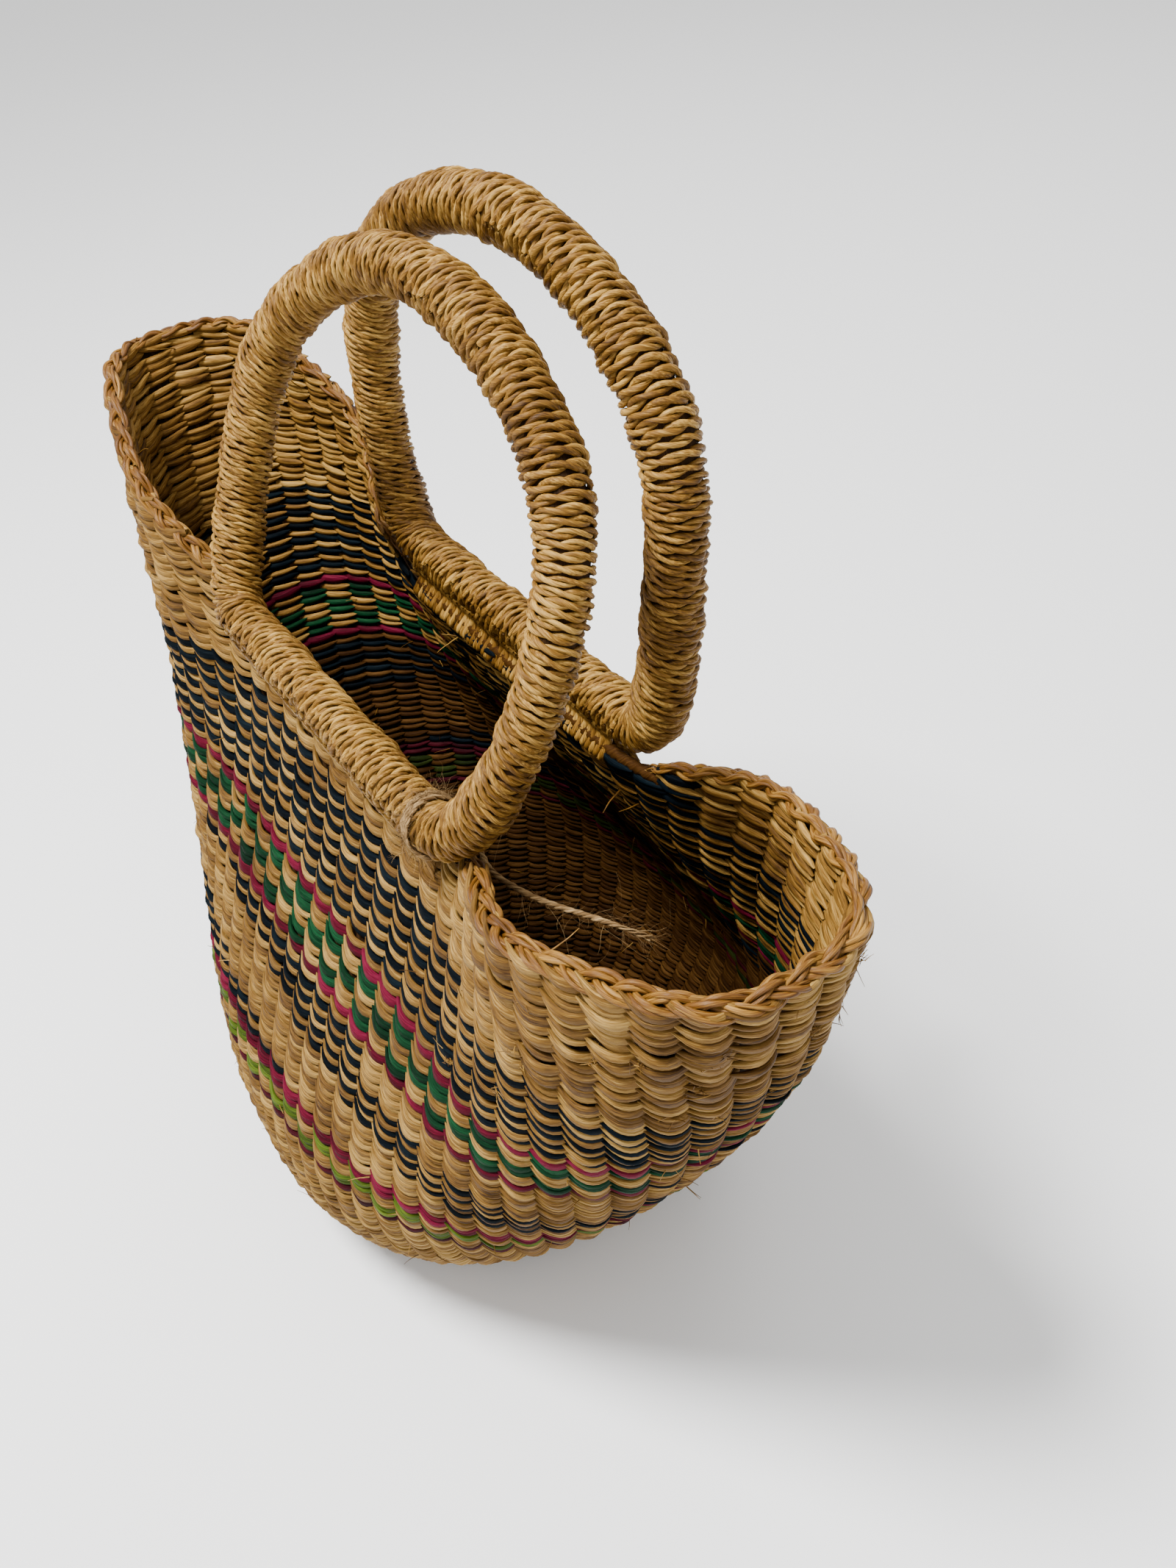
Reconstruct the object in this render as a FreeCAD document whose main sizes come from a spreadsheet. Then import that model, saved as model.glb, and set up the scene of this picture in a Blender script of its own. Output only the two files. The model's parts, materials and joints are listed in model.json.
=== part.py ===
import FreeCAD, Part
import math
import os
from FreeCAD import Placement, Rotation, Vector

# Woven market basket: a boat-shaped grass basket with two wrapped handles.
# Frame: origin at the centre of the base's underside, +X along the basket to
# its right end, -Y to the front handle, +Z up. Millimetres.

SIZES = [
    # plan half sizes of the wall's outer face, at four even levels up to plan_top
    ("base_half_length", 80.0),
    ("lower_half_length", 130.0),
    ("upper_half_length", 171.0),
    ("rim_half_length", 200.0),
    ("base_half_width", 84.0),
    ("lower_half_width", 108.0),
    ("upper_half_width", 86.5),
    ("rim_half_width", 63.5),
    ("plan_top", 238.0),
    # the plan is an ellipse at the base and squarer at the rim
    ("base_power", 2.0),
    ("rim_power", 3.0),
    # the handles draw the two long sides together over this reach along X
    ("pinch", 0.37),
    ("pinch_reach", 115.5),
    ("edge_round", 9.0),
    ("edge_height", 13.0),
    # wall and its bands, by their top levels
    ("wall", 5.5),
    ("base_top", 6.0),
    ("foot_band_top", 97.0),
    ("lower_stripe_top", 114.0),
    ("wedge_top", 161.0),
    ("upper_stripe_top", 189.0),
    ("navy_top", 238.0),
    ("saddle_top", 249.0),
    ("crown_start", 88.0),
    ("left_crown_top", 315.0),
    ("right_crown_top", 282.5),
    # the crowns' edge rises as this power of the way out to the end
    ("crown_curve", 0.6),
    # the saddles reach this far below the crowns' start
    ("saddle_short", 4.0),
    # rim plaits: they begin clear of the handles' feet
    ("braid_radius", 3.6),
    ("braid_gap", 1.0),
    ("right_braid_start", 102.0),
    ("left_braid_start", 106.0),
    # handles: two bars on the saddles, and an arch hinged at each bar's ends
    ("foot_x", 79.0),
    ("foot_y", 40.0),
    ("foot_z", 262.0),
    ("wrap_radius", 10.5),
    ("core_radius", 6.5),
    ("foot_gap", 0.4),
    # room between a bundle and the cord sleeve round it
    ("sleeve_gap", 0.05),
    ("arch_height", 149.5),
    ("widest_height", 76.0),
    # where the shoulder arc's radius stands between the widest level and the top
    ("shoulder_share", 0.78),
    ("front_left_bulge", 16.0),
    ("front_right_bulge", 35.0),
    ("rear_left_bulge", 28.0),
    ("rear_right_bulge", 20.0),
    ("front_lean", 25.0),
    ("rear_lean", -4.0),
    # lashings and twine
    ("lashing_length", 14.0),
    ("lashing_radius", 12.4),
    # the front right lashing is shorter by the room that the jute takes
    ("jute_room", 8.0),
    ("stitch_ring", 11.8),
    ("stitch_cord", 1.15),
    ("stitch_pitch", 11.0),
    ("stitch_count", 8),
    ("splice_radius", 11.7),
    ("splice_length", 22.0),
    ("twine_radius", 1.25),
    ("jute_turns", 3),
    ("jute_edge", 0.1),
    ("twine_gap", 0.05),
]

doc = FreeCAD.newDocument("market_basket")
sheet = doc.addObject("Spreadsheet::Sheet", "sizes")
for row, (alias, value) in enumerate(SIZES, start=1):
    sheet.set(f"A{row}", alias)
    sheet.set(f"B{row}", str(value))
    sheet.setAlias(f"B{row}", alias)
doc.recompute()


def size(alias):
    return float(sheet.get(alias))


nodes = []


def keep(obj, label):
    """Count a document object as a sub-part under its node name."""
    obj.Label = label
    nodes.append(obj)
    return obj


def bind(obj, **expressions):
    """Bind an object's properties to cells of the sheet."""
    for name, text in expressions.items():
        obj.setExpression(name.replace("__", "."), text)
    return obj


def feature(label, shape):
    """A sub-part whose form no primitive gives: its own shape, then its place."""
    obj = doc.addObject("Part::Feature", label)
    obj.Shape = shape
    obj.Placement = Placement()
    return keep(obj, label)


# ---------------------------------------------------------------- wall form

LENGTHS = [size(n) for n in ("base_half_length", "lower_half_length",
                             "upper_half_length", "rim_half_length")]
WIDTHS = [size(n) for n in ("base_half_width", "lower_half_width",
                            "upper_half_width", "rim_half_width")]
PLAN_TOP = size("plan_top")
SECTION_POINTS = 48


def through_levels(values, level):
    """Cubic through four even levels, then straight on above the top one."""
    def cubic(u):
        total = 0.0
        for i, value in enumerate(values):
            weight = 1.0
            for j in range(4):
                if j != i:
                    weight *= (3 * u - j) / (i - j)
            total += weight * value
        return total

    step = 0.01
    if level <= 1.0:
        return cubic(level)
    slope = (cubic(1.0) - cubic(1.0 - step)) / step
    return cubic(1.0) + (level - 1.0) * slope


def wall_point(angle, z):
    """Point of the wall's outer face at a plan angle and a height."""
    level = z / PLAN_TOP
    down = max(0.0, 1.0 - z / size("edge_height"))
    rounding = size("edge_round") * (1.0 - math.sqrt(1.0 - down * down))
    a = through_levels(LENGTHS, level) - rounding
    b = through_levels(WIDTHS, level) - rounding
    power = size("base_power")
    power += (size("rim_power") - power) * min(level, 1.0)
    c, s = math.cos(angle), math.sin(angle)
    r = (abs(c) ** power + abs(s) ** power) ** (-1.0 / power)
    x = a * r * c
    draw = size("pinch") * min(level, 1.1) ** 3
    draw *= math.exp(-(x / size("pinch_reach")) ** 6)
    return Vector(x, b * r * s * (1.0 - draw), z)


def section(z, inset=0.0):
    """Closed smooth plan curve of the wall at a height, moved in by inset."""
    step = 2.0 * math.pi / SECTION_POINTS
    points = []
    for i in range(SECTION_POINTS):
        here = wall_point(i * step, z)
        ahead = wall_point((i + 0.02) * step, z)
        behind = wall_point((i - 0.02) * step, z)
        along = (ahead - behind).normalize()
        inward = Vector(-along.y, along.x, 0)
        points.append(here + inward * inset)
    curve = Part.BSplineCurve()
    curve.interpolate(Points=points, PeriodicFlag=True)
    return Part.Wire(curve.toShape())


def loft(low, high, inset, steps):
    levels = [low + (high - low) * i / steps for i in range(steps + 1)]
    return Part.makeLoft([section(z, inset) for z in levels], True, False)


def ring(low, high, steps=3):
    """One band of the wall between two heights."""
    return loft(low, high, 0.0, steps).cut(loft(low, high, size("wall"), steps))


feature("base", loft(0.0, size("base_top"), 0.0, 3))
BANDS = [
    ("foot_band", "base_top", "foot_band_top", 5),
    ("lower_stripe_band", "foot_band_top", "lower_stripe_top", 2),
    ("wedge_band", "lower_stripe_top", "wedge_top", 3),
    ("upper_stripe_band", "wedge_top", "upper_stripe_top", 2),
    ("navy_band", "upper_stripe_top", "navy_top", 3),
]
for label, low, high, steps in BANDS:
    feature(label, ring(size(low), size(high), steps))


# ------------------------------------------- crowns, saddles and rim braids

CROWN_RUN = LENGTHS[3] - size("crown_start")


def rim_height(x):
    """Height of the rim over a point along X."""
    top = size("left_crown_top") if x < 0 else size("right_crown_top")
    rise = min(1.0, max(0.0, (abs(x) - size("crown_start")) / CROWN_RUN))
    return size("saddle_top") + (top - size("saddle_top")) * rise ** size("crown_curve")


def above_rim():
    """Everything above the rim, to cut the top band along its wave."""
    far, sky, steps = 260.0, 360.0, 10  # well outside the wall's own size
    start = size("crown_start")

    def flank(side):
        points = []
        for i in range(steps + 1):
            x = side * (start + CROWN_RUN * (i / steps) ** 2)
            points.append(Vector(x, 0, rim_height(x)))
        curve = Part.BSplineCurve()
        curve.interpolate(points)
        return curve.toShape(), points[0], points[-1]

    right, right_low, right_high = flank(1)
    left, left_low, left_high = flank(-1)
    corners = [right_high, Vector(far, 0, right_high.z), Vector(far, 0, sky),
               Vector(-far, 0, sky), Vector(-far, 0, left_high.z), left_high]
    edges = [Part.makeLine(p, q) for p, q in zip(corners, corners[1:])]
    edges += [left, Part.makeLine(left_low, right_low), right]
    outline = Part.Wire(Part.__sortEdges__(edges))
    outline.translate(Vector(0, -far / 2, 0))
    return Part.Face(outline).extrude(Vector(0, far, 0))


top_ring = ring(size("navy_top"), size("left_crown_top"), 4).cut(above_rim())
split = size("crown_start") - size("saddle_short")
reach, depth = 300.0, 400.0  # boxes larger than the whole basket
right_half = Part.makeBox(reach, reach, depth, Vector(split, -reach / 2, 0))
left_half = Part.makeBox(reach, reach, depth, Vector(-split - reach, -reach / 2, 0))
front_middle = Part.makeBox(2 * split, reach, depth, Vector(-split, -reach, 0))
rear_middle = Part.makeBox(2 * split, reach, depth, Vector(-split, 0, 0))
feature("right_crown", top_ring.common(right_half))
feature("left_crown", top_ring.common(left_half))
feature("front_saddle", top_ring.common(front_middle))
feature("rear_saddle", top_ring.common(rear_middle))


def rim_point(angle):
    """Point on the outer corner of the wall's top edge at a plan angle."""
    z = size("saddle_top")
    for _ in range(12):
        z = rim_height(wall_point(angle, z).x)
    return wall_point(angle, z)


BRAID_SECTIONS = 25


def tube_through(points, radius):
    """Smooth tube through points, lofted over round sections."""
    rounds = []
    for i, point in enumerate(points):
        before = points[max(i - 1, 0)]
        after = points[min(i + 1, len(points) - 1)]
        along = (after - before).normalize()
        level = along.cross(Vector(0, 0, 1)).normalize() * radius
        upright = level.cross(along)
        circle = Part.Circle(point + level, point + upright, point - level)
        rounds.append(Part.Wire(circle.toShape()))
    return Part.makeLoft(rounds, True, False)


def evenly(points, count):
    """The same line of points, spaced evenly along its length."""
    run = [0.0]
    for before, after in zip(points, points[1:]):
        run.append(run[-1] + (after - before).Length)
    spaced, i = [], 0
    for k in range(count):
        target = run[-1] * k / (count - 1)
        while i < len(run) - 2 and run[i + 1] < target:
            i += 1
        share = (target - run[i]) / (run[i + 1] - run[i])
        spaced.append(points[i] + (points[i + 1] - points[i]) * share)
    return spaced


def braid(middle, start):
    """Plaited edge on a crown's top edge, square to the edge's own slope."""
    lift = size("braid_radius") + size("braid_gap")
    points = []
    for degree in range(-85, 86):
        angle = math.radians(degree + middle)
        point = rim_point(angle)
        if abs(point.x) >= start:
            along = (rim_point(angle + 0.002) - rim_point(angle - 0.002)).normalize()
            inward = Vector(-along.y, along.x, 0).normalize()
            square = along.cross(inward)
            points.append(point + inward * (size("wall") / 2) + square * lift)
    return tube_through(evenly(points, BRAID_SECTIONS), size("braid_radius"))


feature("right_rim_braid", braid(0, size("right_braid_start")))
feature("left_rim_braid", braid(180, size("left_braid_start")))


# -------------------------------------------------------------- lower bars

BAR_HALF = size("foot_x") - size("wrap_radius") - size("foot_gap")
ALONG_X = Rotation(Vector(0, 0, 1), Vector(1, 0, 0))
HALF_BAR = "sizes.foot_x - sizes.wrap_radius - sizes.foot_gap"


def bar_cylinder(name, side, radius, length, start):
    """Cylinder on a bar's axis, bound to the sheet."""
    rod = doc.addObject("Part::Cylinder", name)
    rod.Placement = Placement(Vector(), ALONG_X)
    bind(rod, Radius=radius, Height=length, Placement__Base__x=start,
         Placement__Base__y=f"{side} * sizes.foot_y",
         Placement__Base__z="sizes.foot_z")
    return rod


def sleeve(label, side, outer, inner, length, start):
    """Hollow cylinder round a bar's axis."""
    cut = doc.addObject("Part::Cut", label)
    cut.Base = bar_cylinder(label + "_outside", side, outer, length, start)
    cut.Tool = bar_cylinder(label + "_inside", side, inner, length, start)
    return keep(cut, label)


def stitch_group(label, side):
    """Loops that tie a bar down, spaced along it as separate rings."""
    pitch = size("stitch_pitch")
    count = int(size("stitch_count"))
    loops = []
    for i in range(count):
        x = (i - (count - 1) / 2) * pitch
        centre = Vector(x, side * size("foot_y"), size("foot_z"))
        loops.append(Part.makeTorus(size("stitch_ring"), size("stitch_cord"),
                                    centre, Vector(1, 0, 0)))
    return feature(label, Part.makeCompound(loops))


for name, side in (("front", -1), ("rear", 1)):
    whole = f"2 * ({HALF_BAR})"
    core = bar_cylinder(f"{name}_bar_core", side, "sizes.core_radius", whole,
                        f"-({HALF_BAR})")
    keep(core, f"{name}_bar_core")
    sleeve(f"{name}_bar_wrap", side, "sizes.wrap_radius",
           "sizes.core_radius + sizes.sleeve_gap", whole, f"-({HALF_BAR})")
    stitch_group(f"{name}_bar_stitches", side)
    snug = "sizes.wrap_radius + sizes.sleeve_gap"
    sleeve(f"{name}_left_foot_lashing", side, "sizes.lashing_radius", snug,
           "sizes.lashing_length", f"-({HALF_BAR})")
    length = "sizes.lashing_length"
    if side < 0:
        length = "sizes.lashing_length - sizes.jute_room"
    sleeve(f"{name}_right_foot_lashing", side, "sizes.lashing_radius", snug,
           length, f"{HALF_BAR} - sizes.lashing_length")


# ------------------------------------------------------------- handle arches

def leg_arcs(side, bulge):
    """Half an arch in its own plane, foot to apex, as three tangent arcs."""
    foot, tall, mid = size("foot_x"), size("arch_height"), size("widest_height")
    wide, rise = foot + bulge, tall - mid
    lower = (bulge * bulge + mid * mid) / (2.0 * bulge)
    shoulder = size("shoulder_share") * rise
    crown = (wide * wide + rise * rise - 2.0 * wide * shoulder)
    crown /= 2.0 * (rise - shoulder)

    def arc(cx, cy, radius, start, end):
        points = []
        for part in (0.0, 0.5, 1.0):
            angle = start + (end - start) * part
            points.append(Vector(side * (cx + radius * math.cos(angle)), 0,
                                 cy + radius * math.sin(angle)))
        return Part.Arc(*points).toShape()

    meet = math.atan2(crown - rise, wide - shoulder)
    return [
        arc(wide - lower, mid, lower, -math.asin(mid / lower), 0.0),
        arc(wide - shoulder, mid, shoulder, 0.0, meet),
        arc(0.0, tall - crown, crown, meet, math.pi / 2),
    ]


def sweep(edges, radius):
    """Round tube along joined tangent arcs."""
    path = Part.Wire(Part.__sortEdges__(edges))
    start = path.OrderedVertexes[0].Point
    first = path.OrderedEdges[0]
    heading = first.tangentAt(first.FirstParameter)
    circle = Part.Wire(Part.makeCircle(radius, start, heading))
    return path.makePipeShell([circle], True, False)


def part_of(edge, low, high):
    """Stretch of an arc between two fractions of its length."""
    first, span = edge.FirstParameter, edge.LastParameter - edge.FirstParameter
    return edge.Curve.toShape(first + span * low, first + span * high)


def arch(name, side, left, right, splice):
    """Core, wrap and splice of one arch, in its plane, then leaned in place."""
    right_arcs = leg_arcs(1, size(right))
    left_arcs = leg_arcs(-1, size(left))
    path = right_arcs + left_arcs
    core = sweep(path, size("core_radius"))
    shell = sweep(path, size("wrap_radius"))
    for x in (size("foot_x"), -size("foot_x")):
        ball = Part.makeSphere(size("wrap_radius"), Vector(x, 0, 0))
        shell = shell.fuse(ball)
    gap = size("sleeve_gap")
    shell = shell.removeSplitter().cut(sweep(path, size("core_radius") + gap))
    arcs = right_arcs if splice[0] > 0 else left_arcs
    arc = arcs[splice[1]]
    half = size("splice_length") / arc.Length / 2
    stretch = part_of(arc, splice[2] - half, splice[2] + half)
    sleeve_shape = sweep([stretch], size("splice_radius"))
    sleeve_shape = sleeve_shape.cut(sweep([stretch], size("wrap_radius") + gap))
    # the arch turns about its feet: a lean towards the middle of the basket
    lean = size(f"{name}_lean") * side
    place = Placement(Vector(0, side * size("foot_y"), size("foot_z")),
                      Rotation(Vector(1, 0, 0), lean))
    pieces = (("core", core), ("wrap", shell), ("splice", sleeve_shape))
    for label, shape in pieces:
        obj = doc.addObject("Part::Feature", f"{name}_handle_{label}")
        obj.Shape = shape
        obj.Placement = place
        keep(obj, f"{name}_handle_{label}")


arch("front", -1, "front_left_bulge", "front_right_bulge", (1, 0, 0.45))
arch("rear", 1, "rear_left_bulge", "rear_right_bulge", (1, 1, 0.35))


# --------------------------------------------------------------- jute twine

TWINE = size("twine_radius")
TURN_RADIUS = size("wrap_radius") + TWINE + size("sleeve_gap")
turns = []
for i in range(int(size("jute_turns"))):
    pitch = 2.0 * TWINE + size("twine_gap")
    x = BAR_HALF - TWINE - size("jute_edge") - i * pitch
    centre = Vector(x, -size("foot_y"), size("foot_z"))
    turns.append(Part.makeTorus(TURN_RADIUS, TWINE, centre, Vector(1, 0, 0)))
feature("jute_binding", Part.makeCompound(turns))

# route of the loose end, from the binding out over the right end of the opening
TAIL_ROUTE = [
    Vector(66.0, -25.4, 256.0),
    Vector(77.0, -24.5, 251.0),
    Vector(91.0, -30.5, 248.0),
    Vector(105.0, -27.0, 246.5),
    Vector(118.0, -20.5, 245.5),
    Vector(130.0, -12.5, 244.5),
    Vector(137.0, -7.5, 243.0),
    Vector(143.0, -2.5, 240.5),
]


TRIM_SHARE = 0.45  # of the shorter run at a corner, given up to its arc


def cord(route, radius):
    """Tube along straight runs joined by tangent arcs; prints its radii."""
    edges, here, radii = [], route[0], []
    for i in range(1, len(route) - 1):
        corner = route[i]
        back, ahead = route[i - 1] - corner, route[i + 1] - corner
        shorter = min(back.Length, ahead.Length)
        turn = math.pi - back.getAngle(ahead)
        trim = TRIM_SHARE * shorter
        bend = trim / math.tan(turn / 2)
        radii.append(round(bend, 1))
        u, w = back.normalize(), ahead.normalize()
        start, end = corner + u * trim, corner + w * trim
        inward = (u + w).normalize()
        sagitta = math.hypot(bend, trim) - bend
        edges.append(Part.LineSegment(here, start).toShape())
        edges.append(Part.Arc(start, corner + inward * sagitta, end).toShape())
        here = end
    edges.append(Part.LineSegment(here, route[-1]).toShape())
    path = Part.Wire(edges)
    circle = Part.Wire(Part.makeCircle(radius, route[0], route[1] - route[0]))
    tube = path.makePipeShell([circle], True, False)
    expected = math.pi * radius * radius * path.Length
    print("tail radii", radii, "length", round(path.Length, 1),
          "volume ratio", round(tube.Volume / expected, 4))
    return tube


feature("jute_tail", cord(TAIL_ROUTE, TWINE))


# -------------------------------------------------------------------- write

doc.recompute()
for obj in doc.Objects:
    if "Invalid" in obj.State or "Error" in obj.State:
        raise RuntimeError(f"{obj.Label} failed: {obj.State}")
for obj in nodes:
    if obj.Shape.isNull() or not obj.Shape.isValid() or not obj.Shape.Solids:
        raise RuntimeError(f"{obj.Label} is not a valid solid")

os.makedirs("parts", exist_ok=True)
for obj in nodes:
    obj.Shape.exportStep(f"parts/{obj.Label}.step")
    box = obj.Shape.BoundBox
    print(f"{obj.Label}: {len(obj.Shape.Solids)} solid(s), "
          f"{box.XLength:.1f} x {box.YLength:.1f} x {box.ZLength:.1f}")
print(len(nodes), "nodes")
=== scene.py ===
import json
import math

import bpy
import numpy as np
from mathutils import Matrix, Vector


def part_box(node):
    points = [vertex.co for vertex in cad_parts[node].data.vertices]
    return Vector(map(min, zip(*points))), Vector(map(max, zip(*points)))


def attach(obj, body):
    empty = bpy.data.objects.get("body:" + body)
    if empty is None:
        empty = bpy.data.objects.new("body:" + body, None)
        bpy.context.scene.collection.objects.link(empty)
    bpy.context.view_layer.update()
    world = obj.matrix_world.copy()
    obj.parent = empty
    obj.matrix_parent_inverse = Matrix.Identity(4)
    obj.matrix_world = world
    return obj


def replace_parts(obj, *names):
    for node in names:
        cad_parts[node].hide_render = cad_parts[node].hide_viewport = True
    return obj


# The looks of a boat-shaped twined grass basket. Metres, in the frame of the
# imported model: +X to the right end, -Y to the front handle, +Z up.

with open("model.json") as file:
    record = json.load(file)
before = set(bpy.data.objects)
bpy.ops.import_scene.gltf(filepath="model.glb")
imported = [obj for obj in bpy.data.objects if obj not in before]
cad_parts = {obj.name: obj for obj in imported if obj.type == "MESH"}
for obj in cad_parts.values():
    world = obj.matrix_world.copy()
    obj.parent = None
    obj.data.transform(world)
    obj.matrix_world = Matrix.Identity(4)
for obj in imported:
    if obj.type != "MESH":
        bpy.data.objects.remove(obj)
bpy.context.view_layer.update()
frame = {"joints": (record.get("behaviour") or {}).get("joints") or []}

MM = 0.001
rng = np.random.default_rng(7)


# ---- the camera ----

CAMERA_AZIMUTH = math.radians(60.0)
CAMERA_ELEVATION = math.radians(41.05)
CAMERA_ROLL = math.radians(-5.7)
CAMERA_DISTANCE = 0.6956
CAMERA_TARGET = Vector((-0.0634, 0.0999, 0.105))
FRAME_HEIGHTS_TO_FOCAL = 1929.0 / 2133.0
SENSOR = 36.0


def add_object(name, data):
    """New object in the scene."""
    made = bpy.data.objects.new(name, data)
    bpy.context.scene.collection.objects.link(made)
    return made


def add_camera():
    """Camera that looks down on the basket from its right front, rolled a little."""
    back = Vector((math.sin(CAMERA_AZIMUTH) * math.cos(CAMERA_ELEVATION),
                   -math.cos(CAMERA_AZIMUTH) * math.cos(CAMERA_ELEVATION),
                   math.sin(CAMERA_ELEVATION)))
    level = (-back).cross(Vector((0, 0, 1))).normalized()
    upright = level.cross(-back)
    across = math.cos(CAMERA_ROLL) * level + math.sin(CAMERA_ROLL) * upright
    up = -math.sin(CAMERA_ROLL) * level + math.cos(CAMERA_ROLL) * upright
    data = bpy.data.cameras.new("camera")
    data.sensor_fit = "VERTICAL"
    data.sensor_height = SENSOR
    data.lens = SENSOR * FRAME_HEIGHTS_TO_FOCAL
    data.clip_start = 0.02
    camera = add_object("camera", data)
    place = Matrix((across, up, back)).transposed().to_4x4()
    place.translation = CAMERA_TARGET + back * CAMERA_DISTANCE
    camera.matrix_world = place
    bpy.context.scene.camera = camera


# ---- materials' parts ----

def new_material(name):
    """Empty material; returns it with its node tree and its shader."""
    material = bpy.data.materials.new(name)
    material.use_nodes = True
    tree = material.node_tree
    shader = tree.nodes["Principled BSDF"]
    return material, tree, shader


def node(tree, kind, **values):
    """Add a node and set its inputs, by name, and its own properties."""
    made = tree.nodes.new(kind)
    for name, value in values.items():
        key = name.replace("_", " ")
        if key in made.inputs:
            made.inputs[key].default_value = value
        else:
            setattr(made, name, value)
    return made


def ramp(tree, source, stops):
    """Colour ramp over a source value."""
    made = tree.nodes.new("ShaderNodeValToRGB")
    elements = made.color_ramp.elements
    while len(elements) < len(stops):
        elements.new(0.5)
    for element, (place, colour) in zip(elements, stops):
        element.position = place
        element.color = (*colour, 1.0)
    tree.links.new(source, made.inputs["Fac"])
    return made.outputs["Color"]


def maths(tree, operation, first, second):
    """Math node; each side is a socket or a number."""
    made = tree.nodes.new("ShaderNodeMath")
    made.operation = operation
    for slot, value in zip(made.inputs, (first, second)):
        if isinstance(value, (int, float)):
            slot.default_value = value
        else:
            tree.links.new(value, slot)
    return made.outputs[0]


# fibre streaks: noise cells per millimetre along and round a strand, and detail
FINE_STREAKS = (0.16, 3.4, 3.0)
BROAD_STREAKS = (0.07, 0.9, 2.0)
FINE_SHARE = 0.75
# how far tones differ from strand to strand and from patch to patch
STRAND_CONTRAST, PATCH_CONTRAST, PATCH_SCALE = 0.24, 0.35, 19.0
TONE_STOPS = (0.26, 0.50, 0.72)
FIBRE_POLISH = 0.22
FIBRE_BUMP, FIBRE_DEPTH = 0.55, 0.0005


def grass(name, dark, mid, light, rough=0.62, gloss=0.13):
    """Dry grass strand: long fibre streaks along the strand's own length.

    The 'strand' attribute holds millimetres along the strand, millimetres
    round it, and a number of its own for each strand.
    """
    material, tree, shader = new_material(name)
    strand = node(tree, "ShaderNodeAttribute", attribute_name="strand")
    split = tree.nodes.new("ShaderNodeSeparateXYZ")
    tree.links.new(strand.outputs["Vector"], split.inputs[0])
    along, around, own = split.outputs

    def fibres(along_scale, around_scale, detail):
        """Noise stretched along the strand, different for each strand."""
        join = tree.nodes.new("ShaderNodeCombineXYZ")
        for slot, source, scale in zip(join.inputs, (along, around, own),
                                       (along_scale, around_scale, 37.0)):
            tree.links.new(maths(tree, "MULTIPLY", source, scale), slot)
        noise = node(tree, "ShaderNodeTexNoise", Scale=1.0, Detail=detail, Roughness=0.6)
        tree.links.new(join.outputs[0], noise.inputs["Vector"])
        return noise.outputs["Fac"]

    def swing(source, size):
        """The source's distance from its middle, times a size."""
        return maths(tree, "MULTIPLY", maths(tree, "SUBTRACT", source, 0.5), size)

    fine = fibres(*FINE_STREAKS)
    broad = fibres(*BROAD_STREAKS)
    place = tree.nodes.new("ShaderNodeTexCoord")
    patches = node(tree, "ShaderNodeTexNoise", Scale=PATCH_SCALE, Detail=3.0, Roughness=0.6)
    tree.links.new(place.outputs["Object"], patches.inputs["Vector"])
    tone = maths(tree, "ADD", maths(tree, "MULTIPLY", fine, FINE_SHARE),
                 maths(tree, "MULTIPLY", broad, 1.0 - FINE_SHARE))
    tone = maths(tree, "ADD", tone, swing(own, STRAND_CONTRAST))
    tone = maths(tree, "ADD", tone, swing(patches.outputs["Fac"], PATCH_CONTRAST))
    colour = ramp(tree, tone, list(zip(TONE_STOPS, (dark, mid, light))))
    tree.links.new(colour, shader.inputs["Base Color"])
    polish = maths(tree, "MULTIPLY", fine, -FIBRE_POLISH)
    roughness = maths(tree, "ADD", polish, rough + FIBRE_POLISH / 2)
    tree.links.new(roughness, shader.inputs["Roughness"])
    shader.inputs["Specular IOR Level"].default_value = gloss
    bump = node(tree, "ShaderNodeBump", Strength=FIBRE_BUMP, Distance=FIBRE_DEPTH)
    tree.links.new(fine, bump.inputs["Height"])
    tree.links.new(bump.outputs["Normal"], shader.inputs["Normal"])
    return material


NATURAL = grass("natural_grass", (0.030, 0.0112, 0.0016), (0.142, 0.068, 0.0095),
                (0.35, 0.215, 0.057))
# painted light: a lighter copy of the natural grass for the upper inside wall
LIT_INSIDE = grass("lit_inside_grass", (0.036, 0.0140, 0.0020), (0.175, 0.083, 0.0115),
               (0.37, 0.22, 0.055))
# painted shade: darker copies of the natural and lime grass for the lower inside
DEEP_SHADE = grass("deep_shade_grass", (0.011, 0.0036, 0.0005), (0.034, 0.0126, 0.0018),
             (0.080, 0.036, 0.0078), gloss=0.04)
DEEP_SHADE_LIME = grass("deep_shade_lime_grass", (0.003, 0.005, 0.0005), (0.010, 0.016, 0.0010),
                  (0.028, 0.038, 0.005), gloss=0.05)
HONEY = grass("rim_grass", (0.026, 0.0080, 0.0010), (0.125, 0.048, 0.0052),
              (0.33, 0.175, 0.034), rough=0.42, gloss=0.2)
CORD = grass("wrap_grass", (0.030, 0.0108, 0.0015), (0.168, 0.077, 0.0098),
             (0.45, 0.27, 0.064), rough=0.46, gloss=0.15)
NAVY = grass("navy_grass", (0.0002, 0.0006, 0.0011), (0.0007, 0.0023, 0.0040),
             (0.0028, 0.0072, 0.0105), gloss=0.035)
EMERALD = grass("emerald_grass", (0.0003, 0.004, 0.0013), (0.0006, 0.0185, 0.0055),
                (0.004, 0.048, 0.015), rough=0.6, gloss=0.05)
LIME = grass("lime_grass", (0.010, 0.018, 0.001), (0.042, 0.070, 0.0025),
             (0.10, 0.14, 0.011), rough=0.6, gloss=0.08)
RASPBERRY = grass("raspberry_grass", (0.015, 0.0003, 0.0020), (0.062, 0.0012, 0.0085),
                  (0.135, 0.006, 0.026), rough=0.6, gloss=0.05)
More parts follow.
